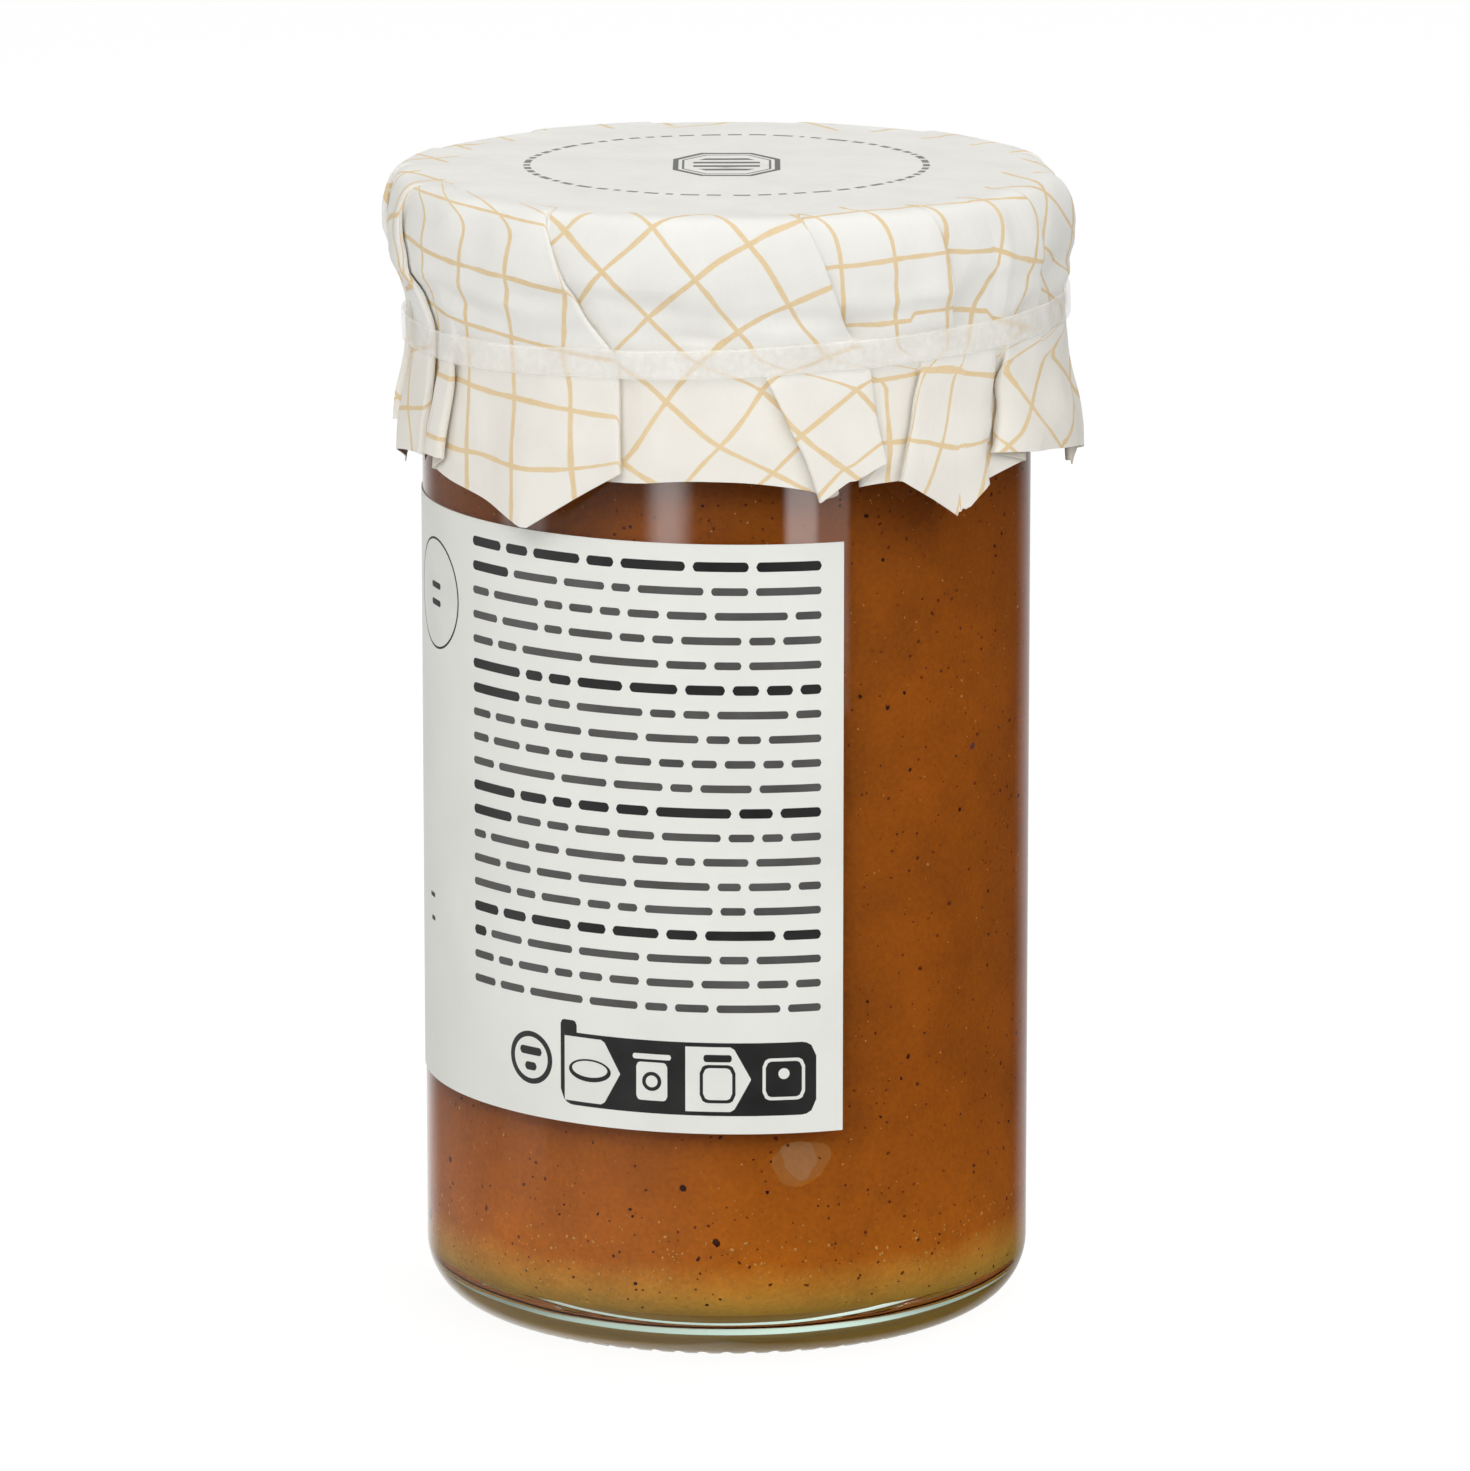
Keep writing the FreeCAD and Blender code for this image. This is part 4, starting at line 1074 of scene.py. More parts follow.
class Print:
    """Flat fields of one ink on the label, measured in millimetres from its front edge
    towards -X and up from its lower edge, laid over the curved sheet in narrow columns."""

    def __init__(self, layer):
        self.radius = BODY_RADIUS + LABEL_FILM + PRINT_LIFT * layer
        self.points, self.faces = [], []

    def column(self, left, right, low, high):
        """One narrow field; low and high give the heights at its two sides."""
        start = len(self.points)
        for across, height in ((left, low[0]), (right, low[1]), (right, high[1]), (left, high[0])):
            degrees = LABEL_END_ANGLE - math.degrees(across / BODY_RADIUS)
            self.points.append(polar(self.radius, degrees, label_line(LABEL_BOTTOM + height, degrees)))
        self.faces.append((start + 1, start, start + 3, start + 2))

    def field(self, near, far, low, high, step=0.7):
        """A field between two distances from the edge; low and high are height functions."""
        count = max(1, math.ceil((far - near) / step))
        for i in range(count):
            a = near + (far - near) * i / count
            b = near + (far - near) * (i + 1) / count
            self.column(a, b, (low(a), low(b)), (high(a), high(b)))

    def bar(self, near, far, low, high, corner=0.0):
        """A bar with rounded corners."""
        def trim(across):
            off = max(near + corner - across, across - (far - corner), 0.0)
            return corner - math.sqrt(max(corner ** 2 - off ** 2, 0.0))
        step = 0.7 if corner == 0 else max(corner / 3, 0.08)
        if corner == 0 or far - near > 6 * corner:
            pieces = ((near, near + corner), (near + corner, far - corner), (far - corner, far))
        else:
            pieces = ((near, far),)
        for a, b in pieces:
            if b > a:
                fine = 0.7 if len(pieces) == 3 and b - a > 4 * corner else step
                self.field(a, b, lambda s: low + trim(s), lambda s: high - trim(s), fine)

    def disc(self, across, height, half_width, half_height):
        """A filled ellipse."""
        def reach(s):
            return half_height * math.sqrt(max(1 - ((s - across) / half_width) ** 2, 0.0))
        steps = 24
        for i in range(steps):
            a = across - half_width * math.cos(math.pi * i / steps)
            b = across - half_width * math.cos(math.pi * (i + 1) / steps)
            self.column(a, b, (height - reach(a), height - reach(b)),
                        (height + reach(a), height + reach(b)))

    def piece(self, name, material):
        """The fields joined into one thin piece."""
        return new_piece(name, self.points, self.faces, material, smooth=False)


TEXT_ROWS = 19
TEXT_PITCH = 2.66             # from one row of dashes to the next
TEXT_TOP = 61.6               # of the first row, over the label's lower edge
TEXT_RIGHT = 2.5              # margin at the label's front edge
TEXT_WIDTH = 41.7
HEAVY_ROWS = (0, 5, 10, 15)   # rows set bolder than the rest
HEAVY_STARTS = (1, 6, 11, 16)  # rows that begin bold


def print_rows(ink, heavy_ink):
    """Justified rows of plain dashes, as long as words are."""
    dice = random.Random(5)
    for row in range(TEXT_ROWS):
        middle = TEXT_TOP - TEXT_PITCH * row
        lengths = []
        while sum(lengths) + 0.8 * len(lengths) < TEXT_WIDTH - 2.0:
            lengths.append(dice.choice((2.3, 2.8, 3.4, 4.2, 5.2, 6.4, 7.6)))
        squeeze = (TEXT_WIDTH - 0.8 * (len(lengths) - 1)) / sum(lengths)
        across = TEXT_RIGHT + TEXT_WIDTH
        for index, length in enumerate(lengths):
            heavy = row in HEAVY_ROWS or (row in HEAVY_STARTS and index == 0)
            half = 0.52 if heavy else 0.42
            sheet = heavy_ink if heavy else ink
            sheet.bar(across - length * squeeze, across, middle - half, middle + half, half * 0.9)
            across -= length * squeeze + 0.8


STRIP_NEAR, STRIP_FAR = 3.0, 31.3      # dark strip with four fields, from the front edge
STRIP_LOW, STRIP_HIGH = 2.0, 10.0


def print_strip(dark, pale, dark_again):
    """The strip under the rows: four fields, dark and pale by turns, each with a plain shape."""
    middle = (STRIP_LOW + STRIP_HIGH) / 2
    width = (STRIP_FAR - STRIP_NEAR) / 4
    dark.bar(STRIP_NEAR, STRIP_FAR, STRIP_LOW, STRIP_HIGH, 1.6)
    dark.bar(STRIP_FAR - 2.0, STRIP_FAR, STRIP_HIGH - 2.0, STRIP_HIGH + 1.3, 0.5)
    for place in (1, 3):
        near = STRIP_NEAR + width * place
        def notch(s, near=near):
            return max(0.0, 1.9 - (s - near)) * 1.6
        low = lambda s: STRIP_LOW + 0.45 + (middle - STRIP_LOW - 0.45) * min(1.0, notch(s) / 3.1)
        high = lambda s: STRIP_HIGH - 0.45 - (STRIP_HIGH - 0.45 - middle) * min(1.0, notch(s) / 3.1)
        pale.field(near, near + width - (0.5 if place == 3 else 0.1), low, high, 0.45)
    # Shapes, from the field at the front edge: a rounded square, a jar, a bin and a lid.
    centre = lambda place: STRIP_NEAR + width * (place + 0.5)
    pale.bar(centre(0) - 2.3, centre(0) + 2.3, middle - 2.3, middle + 2.3, 0.9)
    dark_again.bar(centre(0) - 1.95, centre(0) + 1.95, middle - 1.95, middle + 1.95, 0.7)
    dark_again.bar(centre(1) - 1.9, centre(1) + 1.9, middle - 2.6, middle + 1.6, 0.9)
    dark_again.bar(centre(1) - 1.5, centre(1) + 1.5, middle + 1.9, middle + 2.7, 0.3)
    pale.bar(centre(2) - 1.7, centre(2) + 1.7, middle - 2.6, middle + 1.6, 0.5)
    pale.bar(centre(2) - 2.1, centre(2) + 2.1, middle + 1.9, middle + 2.5, 0.25)
    dark_again.disc(centre(2), middle - 0.5, 1.05, 1.05)
    dark_again.disc(centre(3), middle, 2.5, 1.25)


def print_inner_shapes(pale_again):
    """Hollows of the outlined shapes on the strip."""
    middle = (STRIP_LOW + STRIP_HIGH) / 2
    width = (STRIP_FAR - STRIP_NEAR) / 4
    centre = lambda place: STRIP_NEAR + width * (place + 0.5)
    pale_again.disc(centre(0), middle + 0.6, 0.6, 0.6)
    pale_again.disc(centre(2), middle - 0.5, 0.65, 0.65)
    pale_again.bar(centre(1) - 1.55, centre(1) + 1.55, middle - 2.25, middle + 1.25, 0.7)
    pale_again.disc(centre(3), middle + 0.15, 2.1, 0.9)


SMALL_MARK = (35.3, 6.4)      # middle of the round mark beside the strip
LARGE_MARK = (53.3, 54.2)     # middle of the rings at the far left


def print_marks(dark, pale, dark_again):
    """The round mark beside the strip, the large one at the far left and two short dashes."""
    across, height = SMALL_MARK
    dark.disc(across, height, 2.9, 2.9)
    pale.disc(across, height, 2.3, 2.3)
    dark_again.bar(across - 1.5, across + 1.5, height + 0.3, height + 1.2, 0.4)
    dark_again.bar(across - 0.8, across + 0.8, height - 1.4, height - 0.5, 0.4)
    across, height = LARGE_MARK
    for radius, hollow in ((6.1, 5.85), (4.0, 3.8)):
        dark.disc(across, height, radius, radius)
        pale.disc(across, height, hollow, hollow)
    for off in (0.85, -1.05):
        dark_again.bar(across - 1.4, across + 1.4, height + off - 0.35, height + off + 0.35, 0.3)
    dark.bar(54.5, 56.2, 20.2, 20.7, 0.2)
    dark.bar(54.5, 55.8, 17.6, 18.1, 0.2)


def make_label_print():
    """Every printed layer of the label."""
    black = make_ink_material("label_ink_black", colour(30, 30, 30), colour(44, 43, 42))
    grey = make_ink_material("label_ink_grey", colour(74, 73, 71), colour(92, 91, 89))
    white = make_ink_material("label_ink_white", colour(228, 228, 222), colour(234, 235, 229))
    rows, heavy, dark = Print(1), Print(1), Print(1)
    pale, dark_again, pale_again = Print(2), Print(3), Print(4)
    print_rows(rows, heavy)
    print_strip(dark, pale, dark_again)
    print_inner_shapes(pale_again)
    print_marks(dark, pale, dark_again)
    rows.piece("label_print_rows", grey)
    heavy.piece("label_print_heavy_rows", black)
    dark.piece("label_print_dark_fields", black)
    pale.piece("label_print_pale_fields", white)
    dark_again.piece("label_print_dark_shapes", black)
    pale_again.piece("label_print_pale_shapes", white)


# =====================================================================================
# Pleated paper cover
# =====================================================================================

def row_frame(row):
    """Radius, height, overhang and outward normal of the lowest layer at a meridian row."""
    if row < 2:
        return MERIDIAN[row] + (0.0, 1.0)
    row = min(row, len(MERIDIAN) - 1)
    before = MERIDIAN[row - 1]
    after = MERIDIAN[min(row + 1, len(MERIDIAN) - 1)]
    run, rise = after[0] - before[0], after[1] - before[1]
    length = math.hypot(run, rise)
    return MERIDIAN[row] + (-rise / length, run / length)


def flat_radius(row):
    """Distance from the centre of the flat sheet, measured along the meridian."""
    total = MERIDIAN[0][0]
    for low, high in zip(MERIDIAN[:row], MERIDIAN[1:row + 1]):
        total += math.hypot(high[0] - low[0], high[1] - low[1])
    return total


def along(row, at_rim, at_band, at_hem):
    """Value at a row from its values at the rim, the band and the hem."""
    if row <= BAND_ROW:
        share = (row - RIM_ROW) / (BAND_ROW - RIM_ROW)
        return at_rim + (at_band - at_rim) * max(share, -0.4)
    share = (row - BAND_ROW) / (LAST_ROW - BAND_ROW)
    return at_band + (at_hem - at_band) * share


def layer_heights(row):
    """Height above the lowest layer of the top and the middle layer of a fold."""
    blend = max(0.0, (row - BAND_ROW) / (LAST_ROW - BAND_ROW))
    gap = LAYER_GAP_TIGHT + (LAYER_GAP_HEM - LAYER_GAP_TIGHT) * blend
    return 2 * (gap + PAPER), gap


def fold_poles(state, depth, row):
    """Ten (s, h, ds, dh) poles across a fold whose earlier panel lies on top."""
    top, mid = layer_heights(row)
    t, lead, ahead = PAPER, FOLD_LEAD, CLEAR_AHEAD
    back = -max(depth, LEAST_DEPTH)
    flat = [(FLAT_HALF * (2 * i / 9 - 1), 0, 0, -t) for i in range(10)]
    step = [
        (-lead - CLEAR_OF_FOLD, top, 0, -t), (-lead, top, 0, -t), (0, top, -t, -t),
        (0, top * 0.8, -t, 0), (0, top * 0.6, -t, 0), (0, top * 0.4, -t, 0),
        (0, top * 0.2, -t, 0), (0, 0, -t, -t), (lead, 0, 0, -t), (ahead, 0, 0, -t),
    ]
    fold = [
        (back - CLEAR_OF_FOLD, top, 0, -t), (-lead, top, 0, -t), (0, top, -t, -t),
        (0, mid, -t, t), (-lead, mid, 0, t), (back + lead, mid, 0, t),
        (back, mid, -t, t), (back, 0, -t, -t), (back + lead, 0, 0, -t), (ahead, 0, 0, -t),
    ]
    low, high, share = (flat, step, state) if state < 1 else (step, fold, state - 1)
    return [tuple(a + (b - a) * share for a, b in zip(p, q)) for p, q in zip(low, high)]


def fold_lifts(index, row):
    """Lift of each of the ten poles of a fold at a row."""
    up = LAST_ROW - row
    reach = LIFT_BY_ROW[up] if up < len(LIFT_BY_ROW) else 0.0
    sense, lifts = PLEATS[index][0], PLEATS[index][8]
    beside, crease, beyond = lifts if sense > 0 else lifts[::-1]
    return [
        reach * (p * beside + q * crease + (1 - p - q) * beyond) for p, q in LIFT_SHARES
    ]


def pleat_poles(index, row):
    """Poles of one pleat at a row, as [degrees, h, degrees to the inner skin, dh, lift]."""
    sense, states, at_rim, at_band, at_hem, depth_band, depth_hem = PLEATS[index][:7]
    angle = along(row, at_rim, at_band, at_hem)
    depth = along(row, LEAST_DEPTH, depth_band, depth_hem)
    poles = [
        (s, h, ds, dh, lift)
        for (s, h, ds, dh), lift in zip(fold_poles(states[row], depth, row), fold_lifts(index, row))
    ]
    if sense < 0:
        poles = [(-s, h, -ds, dh, up) for s, h, ds, dh, up in reversed(poles)]
    scale = math.degrees(1.0 / row_frame(row)[0])
    return [[angle + s * scale, h, ds * scale, dh, up] for s, h, ds, dh, up in poles]


def level_flat_pleats(pleats, row):
    """Carry a pleat that is still flat at the level of the panels on either side of it."""
    count = len(pleats)
    for i, pleat in enumerate(pleats):
        state = PLEATS[i][1][row]
        if state < 1:
            level = (pleats[i - 1][-1][1] + pleats[(i + 1) % count][0][1]) / 2
            for pole in pleat:
                pole[1] += level * (1 - state)


def ring_poles(row):
    """All poles round a row and the place of each pleat's first pole."""
    pleats = [pleat_poles(i, row) for i in range(len(PLEATS))]
    level_flat_pleats(pleats, row)
    ring, starts = [], []
    for i, pleat in enumerate(pleats):
        starts.append(len(ring))
        ring.extend(pleat)
        turn = 360.0 if i + 1 == len(pleats) else 0.0
        end, start = pleat[-1], pleats[(i + 1) % len(pleats)][0]
        gap = start[0] + turn - end[0]
        for share in (0.25, 0.75):
            h = end[1] + (start[1] - end[1]) * share
            lift = end[4] + (start[4] - end[4]) * share
            ring.append([end[0] + gap * share, h, 0, -PAPER, lift])
    return ring, starts


def flat_angles(row):
    """Angle on the flat sheet of every pole of a row, from the length of paper between them."""
    radius = row_frame(row)[0]
    ring, starts = ring_poles(row)
    lengths = [0.0]
    for i, (p, q) in enumerate(zip(ring, ring[1:] + ring[:1])):
        turn = 360.0 if i + 1 == len(ring) else 0.0
        lengths.append(lengths[-1] + math.radians(abs(q[0] + turn - p[0])) * radius)
        if i - CREASE_POLES[1] in starts:
            pleat = PLEATS[starts.index(i - CREASE_POLES[1])]
            lengths[-1] += pleat[7] * pleat[1][row] / 2
    return [length / lengths[-1] * 360.0 for length in lengths[:-1]]


def octagon_radius(flat_degrees):
    """Distance from the centre of the flat sheet to its edge."""
    turned = (flat_degrees - OCTAGON_TURN) % 45.0 - 22.5
    apothem = flat_radius(LAST_ROW - 1) + HEM_REACH
    return apothem / math.cos(math.radians(turned))


def sheet_place(distance, degrees):
    """A place on the flat sheet, from its distance and angle about the middle."""
    return np.array((distance * math.sin(math.radians(degrees)),
                     -distance * math.cos(math.radians(degrees))))


def sheet_ways(degrees):
    """The ways across and down a panel whose own way down lies at an angle on the sheet."""
    a = math.radians(degrees)
    return np.array((math.cos(a), math.sin(a))), np.array((math.sin(a), -math.cos(a)))


def crossing_place(across, along):
    """Where a crossing of the ruled grid lies on the flat sheet."""
    u = (across + 0.5) * GRID_CELL - GRID_SHIFT[0]
    v = (along + 0.5) * GRID_CELL - GRID_SHIFT[1]
    a = math.radians(GRID_TURN)
    return np.array((u * math.cos(a) + v * math.sin(a), v * math.cos(a) - u * math.sin(a)))


def hanging_ways(crossings):
    """First crossing of a hanging panel and how the flat place changes from there, for each
    degree round the jar and for each millimetre down the sheet."""
    places = np.array([crossing_place(across, along) for across, along, _, _ in crossings])
    jar = np.array([(angle, down) for _, _, angle, down in crossings])
    return jar[0], places[0], np.linalg.solve(jar[1:] - jar[0], places[1:] - places[0])


def panel_place(panel, row, jar_angle, flat_angle):
    """Flat place and way down of a point of a panel at a row."""
    reach = flat_radius(min(row, LAST_ROW - 1))
    place, down = sheet_place(reach, flat_angle), sheet_ways(flat_angle)[1]
    hangs = HANGS_BELOW if row > BAND_ROW else HANGS_ABOVE
    if panel not in hangs:
        return place, down
    origin, first, ways = hanging_ways(hangs[panel])
    off = (jar_angle - origin[0] + 180.0) % 360.0 - 180.0
    hung = first + ways[0] * off + ways[1] * (reach - origin[1])
    share = min(1.0, row / 3.0)
    return place + (hung - place) * share, down + (ways[1] - down) * share


def flat_places(row, ring, angles, turn):
    """Flat place and way down of every pole of a row; inside a fold one panel runs into the next."""
    count = len(PLEATS)
    places, ways = np.zeros((len(ring), 2)), np.zeros((len(ring), 2))
    per_pleat = POLES_PER_PLEAT + POLES_PER_PANEL
    for i in range(len(ring)):
        pleat, k = divmod(i, per_pleat)
        panel = pleat if k > CREASE_POLES[1] else (pleat - 1) % count
        places[i], ways[i] = panel_place(panel, row, ring[i][0], angles[i] + turn)
    for pleat in range(count):
        a, b = pleat * per_pleat + CREASE_POLES[0], pleat * per_pleat + CREASE_POLES[2]
        for k in range(a + 1, b):
            share = (k - a) / (b - a)
            places[k] = places[a] + (places[b] - places[a]) * share
            ways[k] = ways[a] + (ways[b] - ways[a]) * share
    return places, ways


def cover_row(row):
    """Poles round one row, hanging as far as the meridian goes: outer skin, inner skin, flat
    angle, flat place and way down on the sheet."""
    radius, height, overhang, nr, nz = row_frame(row)
    ring, starts = ring_poles(row)
    angles = flat_angles(row)
    first = starts[FRONT_PANEL_PLEAT] + POLES_PER_PLEAT - 1
    panel = range(first, first + POLES_PER_PANEL + 2)
    at_front = np.interp(FRONT_ANGLE, [ring[i][0] for i in panel], [angles[i] for i in panel])
    thin = SHEET / PAPER
    outer, inner = [], []
    for angle, h, da, dh, lift in ring:
        r, z = radius - lift * HEM_FLARE, height + lift
        h_in = h + dh * thin
        outer.append(polar(r + h * nr, angle, z + h * nz, overhang))
        inner.append(polar(r + h_in * nr, angle + da * thin, z + h_in * nz, overhang))
    places, ways = flat_places(row, ring, angles, FRONT_ANGLE - at_front)
    return np.array(outer), np.array(inner), np.array(angles), places, ways


def quadratic(share):
    """Weights of three poles in a row, part of the way along their span."""
    return (0.5 * (1 - share) ** 2, 0.5 + share - share ** 2, 0.5 * share ** 2)


def round_samples(ring):
    """Where to sample round the cover: (pole, share of its span), closer on the folds."""
    found = []
    for i in range(len(ring)):
        before, here, after = ring[i - 1], ring[i], ring[(i + 1) % len(ring)]
        length = (np.linalg.norm(here - before) + np.linalg.norm(after - here)) / 2
        count = int(min(14, max(2, round(length / 0.7))))
        found.extend((i, k / count) for k in range(count))
    return found


def spread_round(poles, samples, period=0.0):
    """Closed quadratic spline through poles round one row; an angle grows by its period."""
    count = len(poles)
    before = np.roll(poles, 1, axis=0)
    after = np.roll(poles, -1, axis=0)
    before[0] = before[0] - period
    after[count - 1] = after[count - 1] + period
    out = []
    for i, share in samples:
        a, b, c = quadratic(share)
        out.append(a * before[i] + b * poles[i] + c * after[i])
    return np.array(out)


def spread_down(rows, per_span):
    """Quadratic spline down the rows, clamped at both ends: (levels, samples, 3)."""
    spans = len(rows) - 2
    out = [rows[0]]
    for span in range(spans):
        for k in range(1, per_span + 1):
            t = k / per_span
            a, b, c = quadratic(t)
            if span == 0:
                a, b = (1 - t) ** 2, 2 * t - 1.5 * t ** 2
            if span == spans - 1:
                b, c = 0.5 + t - 1.5 * t ** 2, t ** 2
            out.append(a * rows[span] + b * rows[span + 1] + c * rows[span + 2])
    return np.array(out)


def hang_hem(skin, drops):
    """Let the last row fall by what the octagon adds at each place, flaring a little."""
    hung = skin.copy()
    out = skin[:, :2] / np.linalg.norm(skin[:, :2], axis=1)[:, None]
    hung[:, :2] += out * (drops * HEM_FLARE)[:, None]
    hung[:, 2] -= drops
    return hung


def cover_skins():
    """Outer skin, inner skin and flat place of every point of the sheet outside the disc."""
    rows = [cover_row(row) for row in range(LAST_ROW + 1)]
    samples = round_samples(rows[BAND_ROW][0])
    outer, inner, flat = [], [], []
    for row, (outside, inside, angles, places, ways) in enumerate(rows):
        skins = [spread_round(outside, samples), spread_round(inside, samples)]
        place = spread_round(places, samples)
        if row == LAST_ROW:
            reach = flat_radius(LAST_ROW - 1)
            angle = spread_round(angles, samples, 360.0)
            drops = np.array([octagon_radius(a) for a in angle]) - reach
            skins = [hang_hem(skin, drops) for skin in skins]
            place = place + spread_round(ways, samples) * drops[:, None]
        outer.append(skins[0])
        inner.append(skins[1])
        flat.append(np.column_stack([place, np.zeros(len(samples))]))
    return [spread_down(part, LEVELS_PER_ROW) for part in (outer, inner, flat)]


# Soft dents pressed into the paper: angle, height, half width, half height, depth.
DENTS = (
    (-9.0, 115.6, 9.0, 2.4, 0.55), (8.0, 114.6, 7.0, 2.0, 0.45), (-38.0, 115.0, 8.0, 2.6, 0.5),
    (-56.0, 116.5, 5.0, 3.0, 0.5), (30.0, 116.0, 5.0, 2.6, 0.45), (47.0, 114.5, 4.0, 2.4, 0.6),
    (75.0, 116.0, 8.0, 3.0, 0.5), (120.0, 115.5, 10.0, 2.6, 0.5), (158.0, 116.0, 8.0, 2.4, 0.5),
    (-150.0, 115.5, 9.0, 2.6, 0.5), (-115.0, 116.0, 8.0, 2.6, 0.5), (180.0, 114.8, 7.0, 2.2, 0.4),
    (53.6, 105.0, 1.3, 3.0, 0.8), (51.0, 101.5, 1.3, 3.0, 1.0), (48.4, 98.0, 1.3, 3.0, 1.0),
    (62.0, 112.6, 2.2, 1.6, 0.9), (-4.0, 112.2, 3.4, 1.2, 0.5), (21.0, 112.0, 2.6, 1.4, 0.6),
)


def crumple(points):
    """Uneven lie of the sheet, moved along smooth directions so that layers stay apart."""
    moved = points.copy()
    for place in moved.reshape(-1, 3):
        x, y, z = place
        radius = math.hypot(x, y)
        degrees = math.degrees(math.atan2(x, -y))
        here = Vector((x, y, z))
        wave = noise.noise(here / 9.0) * 0.22 + noise.noise(here / 4.2 + Vector((7, 3, 1))) * 0.1
        if radius < MERIDIAN[0][0] + 1.0:
            place[2] -= 0.07 + 0.055 * max(-1.0, min(1.0, wave * 6))
            continue
        free = min(1.0, max(0.0, (BAND_HEIGHT - 3.0 - z) / 9.0))
        sway = noise.noise(Vector((x, y, 0)) / 7.5 + Vector((2, 9, 4))) * 0.7 * free
        push = wave * (0.25 if abs(z - BAND_HEIGHT) < 2.0 else 1.0) + sway
        over = (z - BAND_HEIGHT - 1.6) / 3.4
        if 0.0 < over < 2.4:
            level = z / 2.5 + 0.5 * noise.noise(here / 8.0)
            tuck = noise.noise(Vector((math.radians(degrees) * 3.4, level, 6.0)))
            push += 0.75 * tuck * min(1.0, over) * min(1.0, 2.4 - over)
        for angle, height, half_width, half_height, depth in DENTS:
            off = (degrees - angle + 180) % 360 - 180
            across = math.radians(off) * radius / half_width
            up = (z - height) / half_height
            if abs(across) < 1.6 and abs(up) < 1.6:
                push -= depth * math.exp(-1.6 * (across ** 2 + up ** 2))
        place[0] += push * x / radius
        place[1] += push * y / radius
    return moved


DISC_RINGS = (0.985, 0.95, 0.9, 0.82, 0.72, 0.6, 0.48, 0.36, 0.24, 0.12)


def close_disc(sheet):
    """Rings of the flat top, from the skin's first level in to the centre."""
    first = sheet[0]
    centre = np.array((0.0, 0.0, first[0][2]))
    rings = [centre + (first - centre) * share for share in DISC_RINGS]
    return np.concatenate([np.array(rings[::-1]), sheet])


def make_cover(material, inside_material):
    """The gathered octagon of paper, two skins joined along the hem."""
    outer, inner, flat = [close_disc(part) for part in cover_skins()]
    disc = len(DISC_RINGS) + 1
    inner[:disc, :, 2] = outer[:disc, :, 2] - SHEET
    low, high = np.array(cad_box[0]) / MM, np.array(cad_box[1]) / MM
    outer, inner = np.clip(crumple(outer), low, high), np.clip(crumple(inner), low, high)
    levels, count = outer.shape[:2]
    tips = [(0.0, 0.0, skin[0, :, 2].mean()) for skin in (outer, inner)]
    points = np.concatenate([outer.reshape(-1, 3), inner.reshape(-1, 3), tips])
    at = lambda skin, level, k: skin * levels * count + level * count + k % count
    top, under = 2 * levels * count, 2 * levels * count + 1
    faces, shades = [], []
    for k in range(count):
        faces.append((top, at(0, 0, k), at(0, 0, k + 1)))
        faces.append((under, at(1, 0, k + 1), at(1, 0, k)))
        shades += [0, 1]
        for level in range(levels - 1):
            faces.append((at(0, level, k), at(0, level + 1, k), at(0, level + 1, k + 1),
                          at(0, level, k + 1)))
            faces.append((at(1, level, k + 1), at(1, level + 1, k + 1), at(1, level + 1, k),
                          at(1, level, k)))
            shades += [0, 1]
        last = levels - 1
        faces.append((at(0, last, k), at(1, last, k), at(1, last, k + 1), at(0, last, k + 1)))
        shades.append(0)
    piece = new_piece("cover_sheet", points, faces, material, ("paper_cover",))
    mesh = piece.data
    mesh.materials.append(inside_material)
    mesh.polygons.foreach_set("material_index", shades)
    flat_places = flat.reshape(-1, 3)[:, :2]
    add_uv(mesh, "flat", np.concatenate([flat_places, flat_places, [(0, 0), (0, 0)]]) / UV_SPAN)
    mesh.set_sharp_from_angle(angle=math.radians(62))
    return piece


def add_uv(mesh, name, places):
    """A UV layer from one place per point."""
    layer = mesh.uv_layers.new(name=name)
    corners = np.empty(len(mesh.loops), np.int32)
    mesh.loops.foreach_get("vertex_index", corners)
    layer.data.foreach_set("uv", places[corners].astype(np.float32).ravel())


# =====================================================================================
# Elastic band
# =====================================================================================

